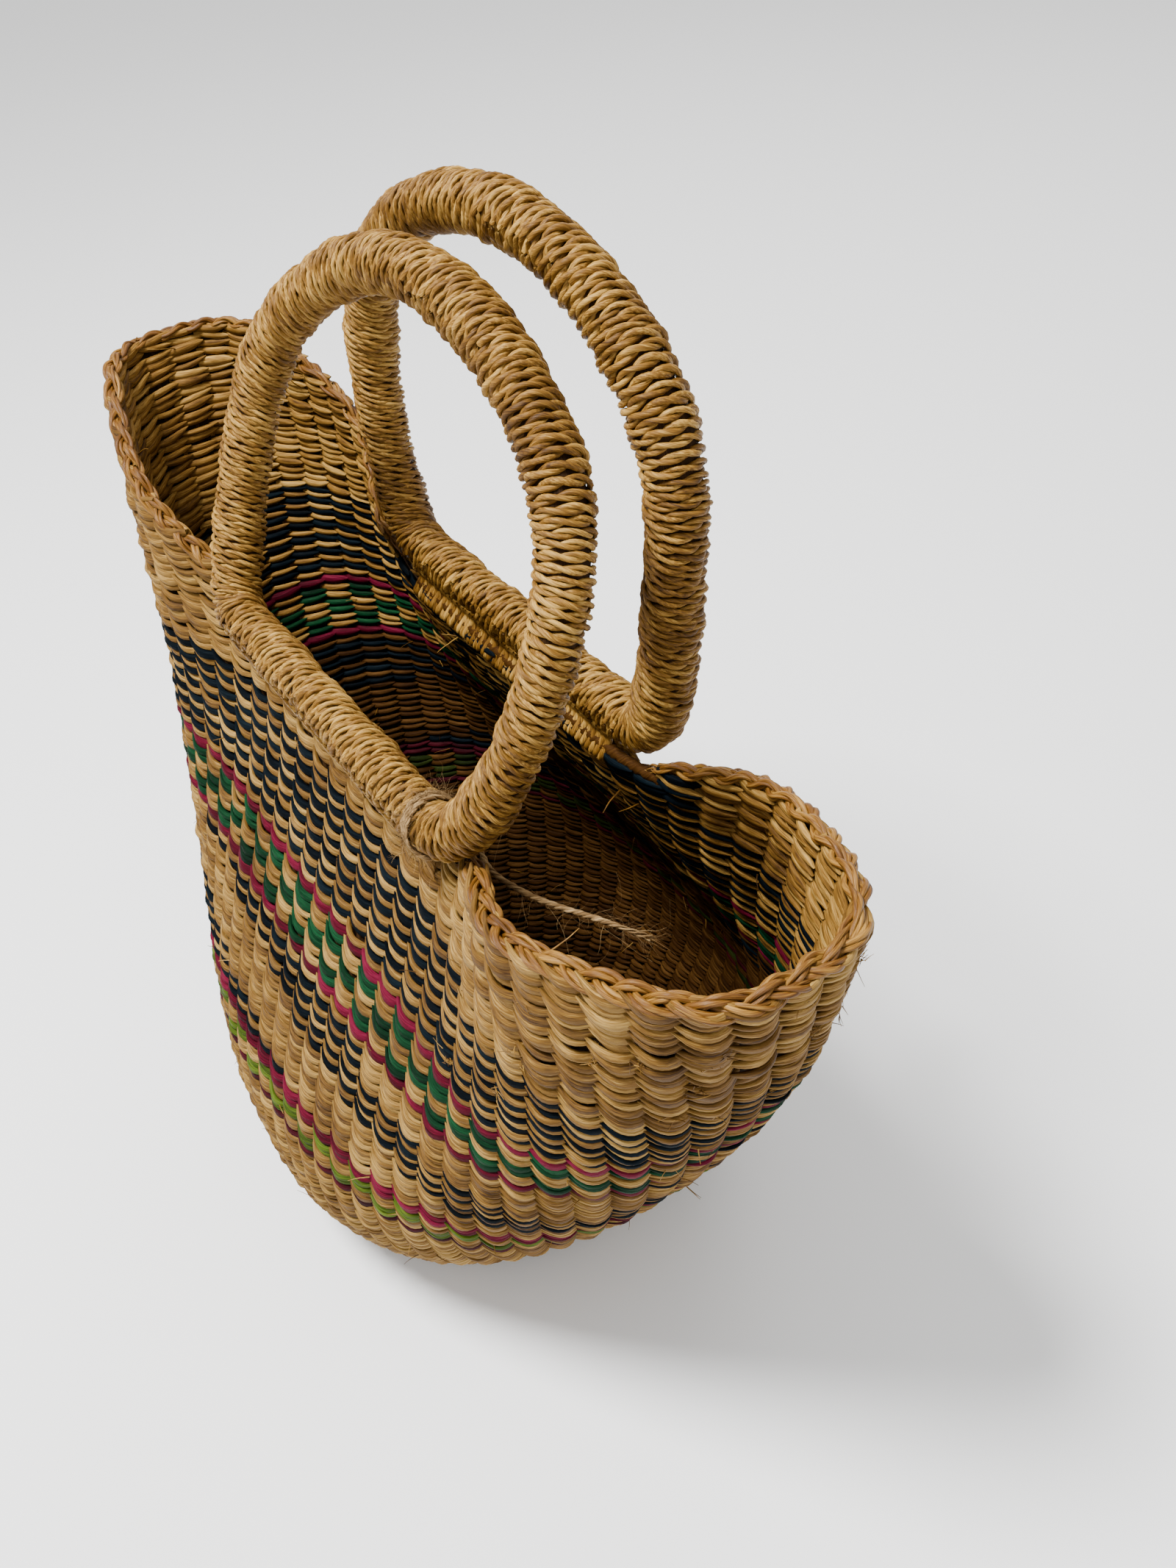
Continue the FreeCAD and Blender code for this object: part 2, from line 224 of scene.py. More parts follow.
MAROON = grass("maroon_grass", (0.007, 0.0004, 0.0010), (0.026, 0.0011, 0.0032),
               (0.06, 0.004, 0.010), rough=0.6, gloss=0.05)
JUTE = grass("jute_fibre", (0.055, 0.028, 0.009), (0.18, 0.105, 0.042),
             (0.36, 0.24, 0.11), rough=0.8, gloss=0.08)
# painted shade: near-black grass for the stakes, the wall's heart and the bundle cores, seen
# only in gaps
GAP_SHADE = grass("gap_shade_grass", (0.008, 0.0032, 0.0007), (0.022, 0.009, 0.002),
               (0.05, 0.022, 0.006), rough=0.85, gloss=0.1)


# ---- strands ----

class Strands:
    """Gathers tubes of one colour and turns them into one mesh."""

    def __init__(self):
        self.points, self.coords, self.quads = [], [], []
        self.count = 0

    def add(self, grid, along, around, own):
        """Tubes: grid is (tube, step along, step round, xyz) in millimetres."""
        tubes, steps, sides, _ = grid.shape
        coords = np.empty(grid.shape)
        coords[..., 0] = along
        coords[..., 1] = around
        coords[..., 2] = own[:, None, None]
        tube = np.arange(tubes)[:, None, None] * steps * sides
        step = np.arange(steps - 1)[None, :, None] * sides
        side = np.arange(sides)[None, None, :]
        beyond = (side + 1) % sides
        first = self.count + tube + step
        quads = np.stack(np.broadcast_arrays(
            first + side, first + beyond, first + sides + beyond, first + sides + side), -1)
        self.points.append(grid.reshape(-1, 3))
        self.coords.append(coords.reshape(-1, 3))
        self.quads.append(quads.reshape(-1, 4))
        self.count += tubes * steps * sides

    def build(self, name, material, body, slot):
        """One mesh object from all tubes, riding on a body."""
        points = np.concatenate(self.points) * MM
        coords = np.concatenate(self.coords)
        quads = np.concatenate(self.quads).astype(np.int32)
        mesh = bpy.data.meshes.new(name)
        mesh.vertices.add(len(points))
        mesh.vertices.foreach_set("co", points.ravel().astype(np.float32))
        mesh.loops.add(quads.size)
        mesh.loops.foreach_set("vertex_index", quads.ravel())
        mesh.polygons.add(len(quads))
        mesh.polygons.foreach_set("loop_start", np.arange(0, quads.size, 4, dtype=np.int32))
        mesh.polygons.foreach_set("use_smooth", np.ones(len(quads), bool))
        attribute = mesh.attributes.new("strand", "FLOAT_VECTOR", "POINT")
        attribute.data.foreach_set("vector", coords.ravel().astype(np.float32))
        mesh.update(calc_edges=True)
        mesh.validate()
        mesh.materials.append(material)
        piece = add_object(name, mesh)
        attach(piece, body)
        return piece


def one_colour(name, material, slot, tubes, body="basket"):
    """A piece made of one set of tubes."""
    strands = Strands()
    strands.add(*tubes)
    return strands.build(name, material, body, slot)


def unit(vectors):
    """Vectors of length one."""
    return vectors / np.maximum(np.linalg.norm(vectors, axis=-1, keepdims=True), 1e-12)


def run_along(line):
    """Length along each line, from zero; the axis before the last is its steps."""
    run = np.linalg.norm(np.diff(line, axis=-2), axis=-1).cumsum(-1)
    return np.concatenate([np.zeros((*run.shape[:-1], 1)), run], -1)


def frame_along(line, up=(0, 0, 1)):
    """Directions ahead, to the side and upright along each line."""
    ahead = unit(np.gradient(line, axis=-2))
    side = unit(np.cross(ahead, np.asarray(up, float)))
    return ahead, side, np.cross(side, ahead)


def line_at(at, run, line):
    """A line's points at lengths along it."""
    return np.stack([np.interp(at, run, part) for part in line.T], -1)


def even_line(line, count):
    """A line resampled evenly, with its length."""
    run = run_along(line)
    return line_at(np.linspace(0, run[-1], count), run, line), run[-1]


def bump_at(value, middle, width):
    """Smooth bump, one at its middle."""
    return np.exp(-((value - middle) / width) ** 2)


def round_angles(sides):
    """Even angles round a strand's section."""
    return np.arange(sides) * 2 * math.pi / sides


def rope(line, radius, sides, spin=0.0, lobes=0.0, lobe_count=2, up=(0, 0, 1)):
    """Tube round each line: line is (tube, step, xyz), radius per step.

    Returns the grid with its along and around coordinates. A lobed section
    that spins along the line is a twisted cord.
    """
    _, side, level = frame_along(line, up)
    run = run_along(line)[..., None]
    turn = round_angles(sides)[None, None, :] + 0 * run
    reach = np.broadcast_to(np.asarray(radius, float), run.shape[:2])[..., None]
    reach = reach * (1 + lobes * np.cos(lobe_count * (turn - spin * run)))
    grid = (line[:, :, None, :]
            + side[:, :, None, :] * (reach * np.cos(turn))[..., None]
            + level[:, :, None, :] * (reach * np.sin(turn))[..., None])
    around = (turn - spin * run) * np.mean(radius)
    return grid, run + 0 * turn, around


# ---- the wall's form ----

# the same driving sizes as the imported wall, in millimetres
PLAN_LENGTHS = (80.0, 130.0, 171.0, 200.0)
PLAN_WIDTHS = (84.0, 108.0, 86.5, 63.5)
PLAN_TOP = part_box("navy_band")[1].z / MM
POWERS = (2.0, 3.0)
PINCH, PINCH_REACH = 0.37, 115.5
EDGE_ROUND, EDGE_HEIGHT = 9.0, 13.0
WALL = 5.5
SADDLE_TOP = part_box("front_saddle")[1].z / MM
CROWN_START = 88.0
LEFT_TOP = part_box("left_crown")[1].z / MM
RIGHT_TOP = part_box("right_crown")[1].z / MM - 2.0
CROWN_CURVE = 0.6
COLUMNS = 66
HALF_ROUND = COLUMNS / 2.0
# the stakes lean: this share of a column for each millimetre down the wall
SPACING_LEVEL, LEAN = 164.0, 0.013


def plan_size(values, level):
    """Cubic through the four even levels, then straight on."""
    def cubic(u):
        total = 0.0
        for i, value in enumerate(values):
            weight = 1.0
            for j in range(4):
                if j != i:
                    weight = weight * (3 * u - j) / (i - j)
            total = total + weight * value
        return total

    slope = (cubic(1.0) - cubic(0.99)) / 0.01
    return np.where(level <= 1, cubic(np.minimum(level, 1)), cubic(1.0) + (level - 1) * slope)


def outer(angle, z):
    """The wall's outer face at a plan angle and a height."""
    level = z / PLAN_TOP
    down = np.clip(1 - z / EDGE_HEIGHT, 0, 1)
    rounding = EDGE_ROUND * (1 - np.sqrt(1 - down * down))
    a = plan_size(PLAN_LENGTHS, level) - rounding
    b = plan_size(PLAN_WIDTHS, level) - rounding
    power = POWERS[0] + (POWERS[1] - POWERS[0]) * np.minimum(level, 1)
    c, s = np.cos(angle), np.sin(angle)
    r = (np.abs(c) ** power + np.abs(s) ** power) ** (-1 / power)
    x = a * r * c
    draw = PINCH * np.clip(level, 0, 1.1) ** 3 * np.exp(-(x / PINCH_REACH) ** 6)
    return np.stack([x, b * r * s * (1 - draw), z + 0 * x], -1)


def ring_places(z):
    """Column places along the wall at a height, at even plan angles."""
    run = run_along(outer(ALL_ROUND, z))
    return run / run[-1] * COLUMNS


# plan angle from the left end round by the front, and the stakes' angles at
# even levels: the stakes stand evenly along the wall at each height
ALL_ROUND = np.linspace(math.pi, 3 * math.pi, 2401)
LEVEL_STEP, LEVEL_COUNT, COLUMN_PARTS = 8.0, 44, 8
PART_PLACES = np.arange(COLUMNS * COLUMN_PARTS + 1) / COLUMN_PARTS
STAKE_ANGLES = np.array([np.interp(PART_PLACES, ring_places(i * LEVEL_STEP), ALL_ROUND)
                         for i in range(LEVEL_COUNT)])
SPACING_PLACES = ring_places(SPACING_LEVEL)


def angle_of(column, z):
    """Plan angle of a column place at a height; column 0 is at the left end."""
    column = column + LEAN * (SPACING_LEVEL - z)
    turns = np.floor(column / COLUMNS)
    part = (column - turns * COLUMNS) * COLUMN_PARTS
    level = np.clip(z / LEVEL_STEP, 0, LEVEL_COUNT - 1.001)
    i, j = part.astype(int), np.asarray(level).astype(int)
    i = np.minimum(i, len(PART_PLACES) - 2)
    p, q = part - i, level - j
    low = STAKE_ANGLES[j, i] * (1 - p) + STAKE_ANGLES[j, i + 1] * p
    high = STAKE_ANGLES[j + 1, i] * (1 - p) + STAKE_ANGLES[j + 1, i + 1] * p
    return low * (1 - q) + high * q + turns * 2 * math.pi


# the base's rings never shrink to less than this share of the wall's plan
SMALLEST_RING = 0.02
# small steps, in columns and millimetres, that give the face's normal
STEP_ACROSS, STEP_UP = 0.02, 0.1


def sheet(column, s):
    """Outer face by column and by height; below zero it runs in over the base."""
    column, s = np.broadcast_arrays(np.asarray(column, float), np.asarray(s, float))
    z = np.maximum(s, 0)
    point = outer(angle_of(column, z), z)
    reach = np.linalg.norm(point[..., :2], axis=-1)
    shrink = np.clip(1 + np.minimum(s, 0) / np.maximum(reach, 1), SMALLEST_RING, 1)
    return np.concatenate([point[..., :2] * shrink[..., None], point[..., 2:]], -1)


def placed(column, s, out):
    """Points at a distance outside the face, with its upward way and normal."""
    point = sheet(column, s)
    across = sheet(column + STEP_ACROSS, s) - sheet(column - STEP_ACROSS, s)
    upward = sheet(column, s + STEP_UP) - sheet(column, s - STEP_UP)
    normal = unit(np.cross(across, upward))
    return point + normal * np.asarray(out)[..., None], unit(upward), normal


def rim_height(x):
    """Height of the rim over a point along X."""
    top = np.where(x < 0, LEFT_TOP, RIGHT_TOP)
    run = PLAN_LENGTHS[3] - CROWN_START
    rise = np.clip((np.abs(x) - CROWN_START) / run, 0, 1)
    return SADDLE_TOP + (top - SADDLE_TOP) * rise ** CROWN_CURVE


def rim_of(column):
    """Height of the rim at a column."""
    z = np.full(np.shape(column), SADDLE_TOP)
    for _ in range(14):
        z = rim_height(sheet(column, z)[..., 0])
    return z


# ---- rows and colours ----

# heights where the colours change, upwards
FOOT_LOW, FOOT_TOP, MAROON_TOP, LIME_TOP, PAIR_TOP = 4.0, 91.0, 94.2, 106.2, 112.4
WEDGE_TOP, THIRD_TOP, EMERALD_TOP, FOURTH_TOP, NAVY_END = 161.4, 165.4, 184.2, 188.2, 228.0
ROW = 2.8
# the crowns have coarser rows, the right one most of all
RIGHT_ROW, LEFT_ROW, RIGHT_REACH = 3.9, 3.3, 8.5
# how far a rim must stand over the saddles to count as a crown
CROWN_RISE = 6.0
# wedges: their spacing in columns, the slopes of their edges in millimetres a
# column, and where their upper edge turns down
WEDGE_PERIOD, WEDGE_OFFSET = COLUMNS / 3.0, 0.3
WEDGE_LOW_SLOPE, WEDGE_HIGH_SLOPE, WEDGE_TURN, WEDGE_DROP = 2.0, 2.1, 13.5, 8.0
# fewer navy rows round the right end: (columns from the end, last navy row)
NAVY_LAST = ((4.5, 9), (8.5, 11), (COLUMNS, 14))
# inside, navy rows go on up to the rear bar between these columns
REAR_NAVY = (42, 57)
# where the rows rise or dip near the handles' feet: (column, width, rise)
SHOULDERS = ((25.5, 4.7, -7.5), (9.6, 4.8, 4.0), (39.8, 5.2, 9.0), (60.2, 5.5, 17.0))
# the dips fade in over these heights
SAG_START, SAG_RANGE = 112.0, 100.0


def rows_between(low, high, count, kind):
    """Even rows: (middle height, row height, kind, index within the zone)."""
    tall = (high - low) / count
    return [(low + (i + 0.5) * tall, tall, kind, i) for i in range(count)]


ROWS = (rows_between(FOOT_LOW, FOOT_TOP, 31, "plain")
        + rows_between(FOOT_TOP, MAROON_TOP, 1, "maroon")
        + rows_between(MAROON_TOP, LIME_TOP, 4, "lime")
        + rows_between(LIME_TOP, PAIR_TOP, 2, "raspberry")
        + rows_between(PAIR_TOP, WEDGE_TOP, 18, "wedge")
        + rows_between(WEDGE_TOP, THIRD_TOP, 1, "raspberry")
        + rows_between(THIRD_TOP, EMERALD_TOP, 6, "emerald")
        + rows_between(EMERALD_TOP, FOURTH_TOP, 1, "raspberry")
        + rows_between(FOURTH_TOP, NAVY_END, 14, "navy"))
MATERIALS = {"plain": NATURAL, "navy": NAVY, "emerald": EMERALD, "lime": LIME,
             "raspberry": RASPBERRY, "maroon": MAROON}
# inside, painted light and shade: a lighter natural grass above, darker copies lower down
LIT_INNER_MATERIALS = {**MATERIALS, "plain": LIT_INSIDE}
# painted shade: low inside, the raspberry rows take the darker maroon
DEEP_SHADE_MATERIALS = {"plain": DEEP_SHADE, "navy": NAVY, "lime": DEEP_SHADE_LIME,
                  "raspberry": MAROON, "maroon": MAROON}


def colour_of(kind, index, z, column):
    """Colour name of one stitch."""
    if kind in ("maroon", "raspberry", "plain"):
        return kind
    if kind == "navy":
        off_end = abs(column + 0.5 - HALF_ROUND)
        last = next(row for reach, row in NAVY_LAST if off_end < reach)
        return "navy" if index % 2 and index <= last else "plain"
    if kind in ("lime", "emerald"):
        return kind if (column + index // 2) % 2 == 0 else "plain"
    # wedges: navy bands that start thin under the raspberry row, thicken to
    # the right, then run down to the lower raspberry rows
    start = (column - WEDGE_PERIOD * WEDGE_OFFSET) % WEDGE_PERIOD
    for phase in (start, start + WEDGE_PERIOD):
        low = WEDGE_TOP - WEDGE_LOW_SLOPE * phase
        high = WEDGE_TOP
        if phase >= WEDGE_TURN:
            high = WEDGE_TOP - WEDGE_DROP - WEDGE_HIGH_SLOPE * (phase - WEDGE_TURN)
        if low < z < high and index % 2 == 0:
            return "navy"
    return "plain"


def sag_of(column, z):
    """How far the rows rise or dip near the feet of the handles."""
    share = np.clip((z - SAG_START) / SAG_RANGE, 0, 1)
    angle = angle_of(np.asarray(column, float), np.asarray(z, float))
    at = np.interp((angle - math.pi) % (2 * math.pi) + math.pi, ALL_ROUND, SPACING_PLACES)
    return share * sum(lift * bump_at((at - middle + HALF_ROUND) % COLUMNS, HALF_ROUND, width)
                       for middle, width, lift in SHOULDERS)


def stitch_list():
    """Every stitch: column, height, row height, outside colour, inside colour."""
    stitches = []
    for column in range(COLUMNS):
        for z, tall, kind, index in ROWS:
            lift = float(sag_of(column, z))
            colour = colour_of(kind, index, z, column)
            stitches.append((column, z + lift, tall, colour, colour))
        low = NAVY_END + float(sag_of(column, NAVY_END))
        top = float(rim_of(np.array(column + 0.5))) + 1.0
        crown = top > SADDLE_TOP + CROWN_RISE
        crown_row = RIGHT_ROW if abs(column - HALF_ROUND) < RIGHT_REACH else LEFT_ROW
        count = max(2, round((top - low) / (crown_row if crown else ROW)))
        for z, tall, _, index in rows_between(low, top, count, "plain"):
            navy = REAR_NAVY[0] < column < REAR_NAVY[1] and index % 2
            navy = navy or (not crown and index >= count - 2)
            stitches.append((column, z, tall, "plain", "navy" if navy else "plain"))
    return stitches


# the two faces' stitches: where they hang lowest, how far they stand out, the
# standing back of the face, half their height and how fast they swell
FACES = {False: dict(low=0.74, bulge=2.5, back=-2.2, half=0.60, swell=3),
         True: dict(low=0.56, bulge=1.0, back=-1.2, half=0.56, swell=7)}
# a stitch runs from its own column's edge into the next by this much
STITCH_START, STITCH_SPAN = -0.14, 1.28
STITCH_DEEP, STITCH_LOBES = 1.30, 0.13
# how uneven the work is: depth, height, slope, bulge, stand-off and thickness
UNEVEN = dict(depth=0.15, height=0.22, slope=0.40, bulge=0.10, stand=0.20, thick=0.10)
GROUND_CLEAR, GROUND_PULL = 8.0, 2.2


def weave(stitches, inward, steps, sides, columns=COLUMNS, depth=2.9, rough=1.0):
    """Crescent stitches, one over each stake, gathered by colour.

    depth is how far a stitch hangs, and rough how uneven the work is.
    """
    face = FACES[inward]
    column, z, tall = (np.array([s[i] for s in stitches], float)[:, None] for i in range(3))
    colours = np.array([s[4 if inward else 3] for s in stitches])
    count = len(stitches)

    def jitter(size):
        return rng.normal(0, size, count)[:, None]

    t = np.linspace(0, 1, steps)[None, :]
    if inward:
        t = t[:, ::-1]
    u = STITCH_START + STITCH_SPAN * t + 0 * z
    hang = depth * (1 + jitter(UNEVEN["depth"] * rough))
    low = face["low"]
    smile = np.where(u < low, ((u - low) / low) ** 2, 1.6 * (u - low) ** 2) - 0.42
    smile = (hang * smile + jitter(UNEVEN["height"] * rough)
             + jitter(UNEVEN["slope"] * rough) * (u - 0.5))
    hump = np.sin(math.pi * np.clip((u + 0.10) / 1.15, 0, 1))
    out = (face["bulge"] * hump * (1 + jitter(UNEVEN["bulge"]))
           + jitter(UNEVEN["stand"] * rough))
    out = out + 0.7 * np.clip(0.25 - u, 0, 1) / 0.35 - 0.9 * np.clip(u - 0.8, 0, 1) / 0.3
    out = face["back"] + out
    height = z + smile
    if inward:
        out = -WALL - out
    else:
        # nothing bulges below the ground
        out = out - GROUND_PULL * np.clip(1 - height / GROUND_CLEAR, 0, 1)
    line, upward, normal = placed((column + u) * (COLUMNS / columns), height, out)
    half_tall = tall * face["half"] * (1 + jitter(UNEVEN["thick"] * rough))
    half_tall = half_tall * (np.clip(1 - (1 - t) ** face["swell"], 0.12, 1)
                             * (1 - 0.35 * t ** 6))
    half_deep = STITCH_DEEP * ((0.35 + 0.65 * np.clip(1 - (1 - t) ** 5, 0, 1))
                               * (1 - 0.3 * t ** 6))
    phase = round_angles(sides)
    bundle = 1 + STITCH_LOBES * np.cos(3 * phase[None, None, :] + 5 * t[..., None]
                                       + 6.28 * rng.random(count)[:, None, None])
    tall_reach = half_tall[..., None] * np.sin(phase) * bundle
    deep_reach = half_deep[..., None] * np.cos(phase) * bundle
    grid = (line[:, :, None, :] + upward[:, :, None, :] * tall_reach[..., None]
            + normal[:, :, None, :] * deep_reach[..., None])
    if inward:
        grid = grid[:, ::-1]
    along = run_along(line)[..., None] + 0 * bundle
    around = phase[None, None, :] * STITCH_DEEP + 0 * bundle
    own = rng.random(count)
    gathered = {}
    for name in np.unique(colours):
        pick = colours == name
        gathered[str(name)] = (grid[pick], along[pick], around[pick], own[pick])
    return gathered


# zones of the wall: name, lowest, highest, slot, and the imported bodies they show
ZONES = (
    ("foot", -1.0, FOOT_TOP, "natural_weft", ("base", "foot_band")),
    ("lower_stripe", FOOT_TOP, PAIR_TOP, "stripe_weft", ("lower_stripe_band",)),
    ("wedge", PAIR_TOP, WEDGE_TOP, "wedge_weft", ("wedge_band",)),
    ("upper_stripe", WEDGE_TOP, FOURTH_TOP, "stripe_weft", ("upper_stripe_band",)),
    ("navy_zone", FOURTH_TOP, NAVY_END, "navy_weft", ("navy_band",)),
    ("crown", NAVY_END, 400.0, "natural_weft",
     ("right_crown", "left_crown", "front_saddle", "rear_saddle")),
)
# zones whose inside takes the painted shade colours
DEEP_SHADE_ZONES = ("foot", "lower_stripe", "wedge")
INNER_DEPTH = 0.9


def build_wall():
    """The twined wall, outside and inside, split into pieces by colour and zone."""
    stitches = stitch_list()
    for zone, low, high, slot, shown in ZONES:
        found = [s for s in stitches
                 if low <= s[1] - float(sag_of(s[0], s[1])) < high]
        depth, rough = (2.1, 1.8) if zone == "crown" else (2.9, 1.0)
        fine = (9, 6) if zone == "foot" else (10, 8)
        # painted shade inside the lower zones, painted light inside the upper ones
        inner = DEEP_SHADE_MATERIALS if zone in DEEP_SHADE_ZONES else LIT_INNER_MATERIALS
        outside = weave(found, False, *fine, depth=depth, rough=rough)
        for name, tubes in outside.items():
            piece = one_colour(f"{zone}_{name}_outside", MATERIALS[name], slot, tubes)
            if name == "plain":
                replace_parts(piece, *shown)
        inside = weave(found, True, 8, 6, depth=INNER_DEPTH, rough=rough)
        for name, tubes in inside.items():
            one_colour(f"{zone}_{name}_inside", inner[name], slot, tubes)


STAKE_RADIUS, SEAT_RADIUS, SEAT_COLUMNS = 1.5, 2.1, 5.9


def build_stakes():
    """The upright bundles inside the wall, and their bent ends under the bars."""
    column = np.arange(COLUMNS)[:, None] + 0.5
    rise = np.linspace(0, 1, 46)[None, :]
    top = rim_of(column) - 0.5
    s = rise * top + (1 - rise) * 2.0
    line, _, _ = placed(column, s, -WALL / 2)
    stakes = *rope(line, STAKE_RADIUS, 6, up=(0.13, 0.2, 0.05)), rng.random(COLUMNS)
    # painted shade: the stakes are as dark as the gaps they show in
    one_colour("stakes", GAP_SHADE, "grass_bundle", stakes)
    seats = Strands()
    for middle in (COLUMNS / 4.0, COLUMNS * 0.75):
        column = middle + np.linspace(-SEAT_COLUMNS, SEAT_COLUMNS, 90)[None, :]
        seat, _, _ = placed(column, SADDLE_TOP + 0.4, -WALL / 2)
        seats.add(*rope(seat, SEAT_RADIUS, 16, spin=0.7, lobes=0.22, lobe_count=3),
                  np.array([0.5]))
    # painted shade: the seats under the bars take the dark deep-shade grass
    seats.build("saddle_seats", DEEP_SHADE, "basket", "natural_weft")


# distances run in from the foot's edge over the base, as negative heights
BASE_REACH, SPARSER, SPARSEST = 72.0, 30.0, 55.0
HEART_REACH, HEART_HALF = 70.0, 0.3


def build_heart():
    """Thin dark sheet in the middle of the wall and base, painted shade for the gaps between
    stitches.
    """
    levels = np.concatenate([np.linspace(-HEART_REACH, 0, 8), np.linspace(3, 13, 4),
                             np.linspace(20, NAVY_END, 30)])
    column = np.arange(0, COLUMNS, 0.5)
    rise = np.linspace(0, 1, 8)[1:]
    rim = rim_of(column) - 1.0
    s = np.concatenate([levels[:, None] + 0 * column[None, :],
                        NAVY_END + (rim - NAVY_END)[None, :] * rise[:, None]])
    front, _, _ = placed(column, s, -WALL / 2 + HEART_HALF)
    back, _, _ = placed(column, s, -WALL / 2 - HEART_HALF)
    shell = np.concatenate([front, back[::-1], front[:1]])[None]
    flat = np.zeros(shell.shape[:3])
    one_colour("wall_heart", GAP_SHADE, "grass_bundle", (shell, flat, flat, np.zeros(1)))


def build_base():
    """Rings of stitches over the base, below and inside, with fewer columns inwards."""
    below, inside = Strands(), Strands()
    s = ROW / 2
    while s > -BASE_REACH:
        columns = COLUMNS if s > -SPARSER else 33 if s > -SPARSEST else 16
        stitches = [(column, s, ROW, "plain", "plain") for column in range(columns)]
        below.add(*weave(stitches, False, 7, 6, columns)["plain"])
        inside.add(*weave(stitches, True, 7, 6, columns)["plain"])
        s -= ROW
    below.build("base_below", NATURAL, "basket", "natural_weft")
    # painted shade: the base's inside takes the dark deep-shade grass
    inside.build("base_inside", DEEP_SHADE, "basket", "natural_weft")


# ---- rim braids ----

PLAIT_CYCLE, PLAIT_TILT = 40.0, math.radians(32)
PLAIT_WIDE, PLAIT_DEEP, PLAIT_LIFT = 2.45, 1.5, 0.8
# the plait tapers over its last millimetres to this share
PLAIT_TAPER, PLAIT_TIP = 16.0, 0.22
STEM, STEM_TWIST, STEM_ACROSS, STEM_ABOVE = 0.88, 27.0, 0.95, 0.70


def rim_line(side, count, lift):
    """Middle of the wall's top edge round one end, evenly spaced."""
    centre = HALF_ROUND if side > 0 else 0.0
    column = centre + np.linspace(-1, 1, 1201) * 20.0
    z = rim_of(column)
    line, _, _ = placed(column, z, -WALL / 2)
    line[:, 2] = z + lift
    return even_line(line[line[:, 0] * side > CROWN_START - 1.0], count)


def build_braid(side, name, replaced):
    """Three strands of twisted grass stems, plaited along the top edge."""
    line, length = rim_line(side, 760, PLAIT_LIFT)
    _, level, upright = frame_along(line)
    across = level * math.cos(PLAIT_TILT) - upright * math.sin(PLAIT_TILT)
    over = level * math.sin(PLAIT_TILT) + upright * math.cos(PLAIT_TILT)
    run = np.linspace(0, length, len(line))
    wander = 0.40 * np.sin(run / 23.0 + side) + 0.25 * np.sin(run / 8.3)
    ends = np.clip(np.minimum(run, length - run) / PLAIT_TAPER, PLAIT_TIP, 1)
    strands = Strands()
    for i in range(3):
        phase = 2 * math.pi * (run / PLAIT_CYCLE + i / 3.0) + wander
        wide = PLAIT_WIDE * (1 + 0.15 * np.sin(run / 17.0 + 2.1 * i))
        path = (line + across * (wide * np.sin(phase) * ends)[:, None]
                + over * (PLAIT_DEEP * np.sin(2 * phase) * ends)[:, None])
        ahead = unit(np.gradient(path, axis=0))
        beside = unit(np.cross(over, ahead))
        above = np.cross(ahead, beside)
        roll = 2 * math.pi * run / STEM_TWIST + 2.1 * i + 0.7 * np.sin(run / 13.0 + i)
        own = 0.3 + 0.4 * rng.random()
        for stem in range(3):
            turn = roll + 2 * math.pi * stem / 3
            spread = 1.0 + 0.15 * np.sin(run / 11.0 + stem)
            stem_line = (path + beside * (STEM_ACROSS * spread * np.cos(turn))[:, None]
                         + above * (STEM_ABOVE * spread * np.sin(turn))[:, None])
            thick = (STEM + 0.14 * np.sin(run / 5.3 + i + 2 * stem)
                     + 0.08 * np.sin(run / 2.1 + 3 * i + stem)) * ends
            strands.add(*rope(stem_line[None], thick[None], 7, spin=0.12,
                              lobes=0.05, lobe_count=3), np.array([own + 0.12 * (stem - 1)]))
    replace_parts(strands.build(name, HONEY, "basket", "rim_braid"), replaced)


# ---- handles ----

SIDES = {"front": -1.0, "rear": 1.0}
# the handles' feet stand on their hinges
HINGE = next(joint["pos_m"] for joint in frame["joints"]
             if joint["name"] == "front_handle_flex")
FOOT_Y, FOOT_Z = abs(HINGE[1]) / MM, HINGE[2] / MM
FOOT_X = 79.0
GRIP = 10.5
ARCH_HEIGHT, WIDEST_HEIGHT = 149.5, 76.0
# radius of an arch's shoulders, as a share of its rise over its widest place
SHOULDER_SHARE = 0.78
# how far the legs bulge out past the feet, left and right, and the arches' lean
BULGES = {"front": (16.0, 35.0), "rear": (28.0, 20.0)}
LEANS = {"front": 25.0, "rear": -4.0}
BAR_HALF = FOOT_X - GRIP - 0.4


def leg_line(bulge):
    """Half an arch in its own plane, foot to apex, as three tangent arcs."""
    wide, rise = FOOT_X + bulge, ARCH_HEIGHT - WIDEST_HEIGHT
    lower = (bulge ** 2 + WIDEST_HEIGHT ** 2) / (2 * bulge)
    shoulder = SHOULDER_SHARE * rise
    crown = (wide ** 2 + rise ** 2 - 2 * wide * shoulder) / (2 * (rise - shoulder))
    meet = math.atan2(crown - rise, wide - shoulder)

    def arc(cx, cy, radius, start, end):
        angle = np.linspace(start, end, 120)
        return np.stack([cx + radius * np.cos(angle), cy + radius * np.sin(angle)], -1)

    return np.concatenate([
        arc(wide - lower, WIDEST_HEIGHT, lower, -math.asin(WIDEST_HEIGHT / lower), 0.0),
        arc(wide - shoulder, WIDEST_HEIGHT, shoulder, 0.0, meet)[1:],
        arc(0.0, ARCH_HEIGHT - crown, crown, meet, math.pi / 2)[1:]])


def arch_line(name):
    """The arch's middle line from right foot to left foot, in its plane."""
    left, right = BULGES[name]
    back = leg_line(left)[::-1][1:] * [-1, 1]
    return np.concatenate([leg_line(right), back])


